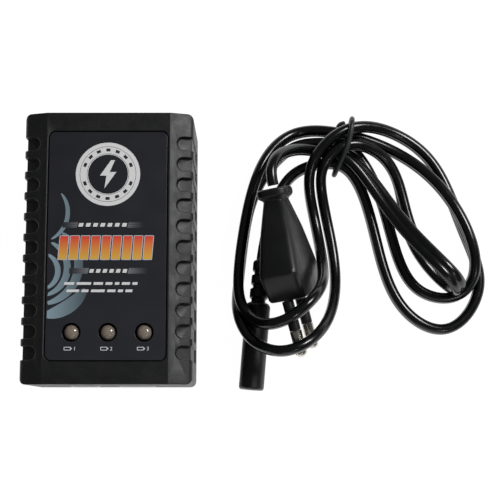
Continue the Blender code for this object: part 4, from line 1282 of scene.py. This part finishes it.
class CHARGER_OT_plug(Maker):
    """Two-pin plug: its moulded body, round-nosed pins and dark sleeves."""

    bl_idname = "charger.plug"
    bl_label = "Mains plug"

    def make(self, scene):
        body = plain_plastic("plug_moulding", scene.charger_lead.plug, 0.4, 0.0005, 0.00004)
        softened("plug_moulding", "plug_body", 0.0004, body, LEAD, 3, 24)
        nickel = plated("plug_pin_plating", "D6D2C8", 0.18)
        dark = plain_plastic("sleeve_plastic", "141517", 0.35)
        side, across, ahead = plug_frame()
        kinds = (("pin", nickel, "nickel_plated_brass"), ("sleeve", dark, "black_plastic"))
        for level in ("upper", "lower"):
            for kind, material, slot in kinds:
                node = f"plug_{kind}_{level}"
                centre = middle(node)
                low, high = own_extent(node, ahead)
                edges = own_extent(node, across)
                radius = (edges[1] - edges[0]) / 2
                base = centre - ahead * centre.dot(ahead)
                turn = Matrix((side, across, ahead)).transposed().to_4x4()
                turn.translation = base
                profile, closed = getattr(self, kind)(low, high, radius)
                mesh = revolve(f"plug_{kind}_{level}_turned", profile, turn, 40, closed)
                finished(mesh.name, mesh, material, LEAD, (node,))

    def pin(self, low, high, radius):
        """Solid pin: a thin root inside the sleeve, a full-width end and an elliptical nose."""
        bare = low + PIN_COVERED
        nose = np.linspace(0, np.pi / 2, 12)
        profile = [(max(1e-6, radius * math.sin(a)), high - 0.0016 * (1 - math.cos(a))) for a in nose]
        profile += [(radius, bare + 0.0001), (radius - 0.0001, bare)]
        profile += [(PIN_ROOT, bare), (PIN_ROOT, low), (1e-6, low)]
        return profile, False

    def sleeve(self, low, high, radius):
        """Thin tube round the pin's root with an eased edge."""
        return [
            (0.0013, high),
            (radius - 0.0002, high),
            (radius, high - 0.0002),
            (radius, low),
            (0.0013, low),
        ], True


class CHARGER_OT_connector(Maker):
    """Flat two-hole connector with its ribbed relief and sprung contacts."""

    bl_idname = "charger.connector"
    bl_label = "Connector"

    def make(self, scene):
        body = plain_plastic("connector_moulding", scene.charger_lead.plug, 0.42, 0.0005, 0.00004)
        softened("connector_moulding", "connector_body", 0.0003, body, LEAD, 2, 24)
        brass = plated("contact_brass", "B79A5A", 0.3)
        for level in ("upper", "lower"):
            node = f"connector_contact_{level}"
            softened(f"connector_contact_{level}_sprung", node, 0.0001, brass, LEAD)


class CHARGER_OT_stage(Maker):
    """White sweep, even sky, a large soft light at the right and a low one in front."""

    bl_idname = "charger.stage"
    bl_label = "Stage"

    def make(self, scene):
        style = scene.charger_stage
        white = Finish("white_sweep", "707070", 0.9)
        white.set("Specular IOR Level", 0.0)
        white.set("Emission Color", (1, 1, 1, 1))
        white.set("Emission Strength", 0.98)
        floor = bpy.data.objects.new("sweep", plate("sweep", [rounded_box(6, 6, 0.5)], -0.02, -0.0003))
        floor.data.materials.append(white.material)
        scene.collection.objects.link(floor)
        world = bpy.data.worlds.new("even_sky")
        world.use_nodes = True
        background = world.node_tree.nodes["Background"]
        background.inputs["Color"].default_value = (1, 1, 1, 1)
        background.inputs["Strength"].default_value = style.sky
        scene.world = world
        centre = Vector(((CAD_BOX[0][0] + CAD_BOX[1][0]) / 2 - 0.0034, -0.0012, 0.035))
        self.light("key", (0.45, 0.27, 0.55), centre, 0.22, style.key)
        self.light("front", (0.02, -0.60, 0.18), centre, 0.45, style.rim)
        self.light("glint", (0.25, -0.42, 0.50), centre, 0.05, 0.06 * style.key)
        camera = bpy.data.objects.new("camera", bpy.data.cameras.new("camera"))
        away = Vector((0, -math.cos(style.elevation), math.sin(style.elevation)))
        camera.location = centre + away * style.distance
        camera.rotation_euler = (-away).to_track_quat("-Z", "Y").to_euler()
        camera.data.lens = style.lens
        camera.data.clip_start = 0.01
        scene.collection.objects.link(camera)
        scene.camera = camera
        scene.view_settings.view_transform = "Standard"

    def light(self, name, place, target, size, power):
        lamp = bpy.data.lights.new(name, "AREA")
        lamp.size = size
        lamp.energy = power
        lit = bpy.data.objects.new(name, lamp)
        lit.location = place
        lit.rotation_euler = (target - Vector(place)).to_track_quat("-Z", "Y").to_euler()
        bpy.context.scene.collection.objects.link(lit)


MAKERS = (
    CHARGER_OT_stage,
    CHARGER_OT_plug,
    CHARGER_OT_connector,
    CHARGER_OT_cord,
    CHARGER_OT_case,
    CHARGER_OT_label,
    CHARGER_OT_badge,
    CHARGER_OT_level_bars,
    CHARGER_OT_streaks,
    CHARGER_OT_rows,
    CHARGER_OT_captions,
    CHARGER_OT_sweeps,
    CHARGER_OT_lamps,
    CHARGER_OT_screws,
    CHARGER_OT_sticker,
    CHARGER_OT_board,
    CHARGER_OT_chips,
    CHARGER_OT_capacitors,
    CHARGER_OT_choke,
    CHARGER_OT_inlet,
    CHARGER_OT_sockets,
)


class CHARGER_PT_panel(bpy.types.Panel):
    """Lists the makers and the settings they read."""

    bl_idname = "CHARGER_PT_panel"
    bl_label = "Balance charger"
    bl_space_type = "VIEW_3D"
    bl_region_type = "UI"
    bl_category = "Charger"

    def draw(self, context):
        for key in SETTINGS:
            group = getattr(context.scene, key)
            box = self.layout.box()
            for field in group.__annotations__:
                box.prop(group, field)
        for maker in MAKERS:
            self.layout.operator(maker.bl_idname)


SETTINGS = {
    "charger_case": CaseSettings,
    "charger_print": PrintSettings,
    "charger_lamp": LampSettings,
    "charger_lead": LeadSettings,
    "charger_stage": StageSettings,
}


def register():
    for kind in (*SETTINGS.values(), *MAKERS, CHARGER_PT_panel):
        bpy.utils.register_class(kind)
    for key, kind in SETTINGS.items():
        setattr(bpy.types.Scene, key, PointerProperty(type=kind))


def unregister():
    for key in SETTINGS:
        delattr(bpy.types.Scene, key)
    for kind in (CHARGER_PT_panel, *MAKERS[::-1], *SETTINGS.values()):
        bpy.utils.unregister_class(kind)


def main():
    register()
    for maker in MAKERS:
        group, name = maker.bl_idname.split(".")
        getattr(getattr(bpy.ops, group), name)()


if __name__ == "__main__":
    main()
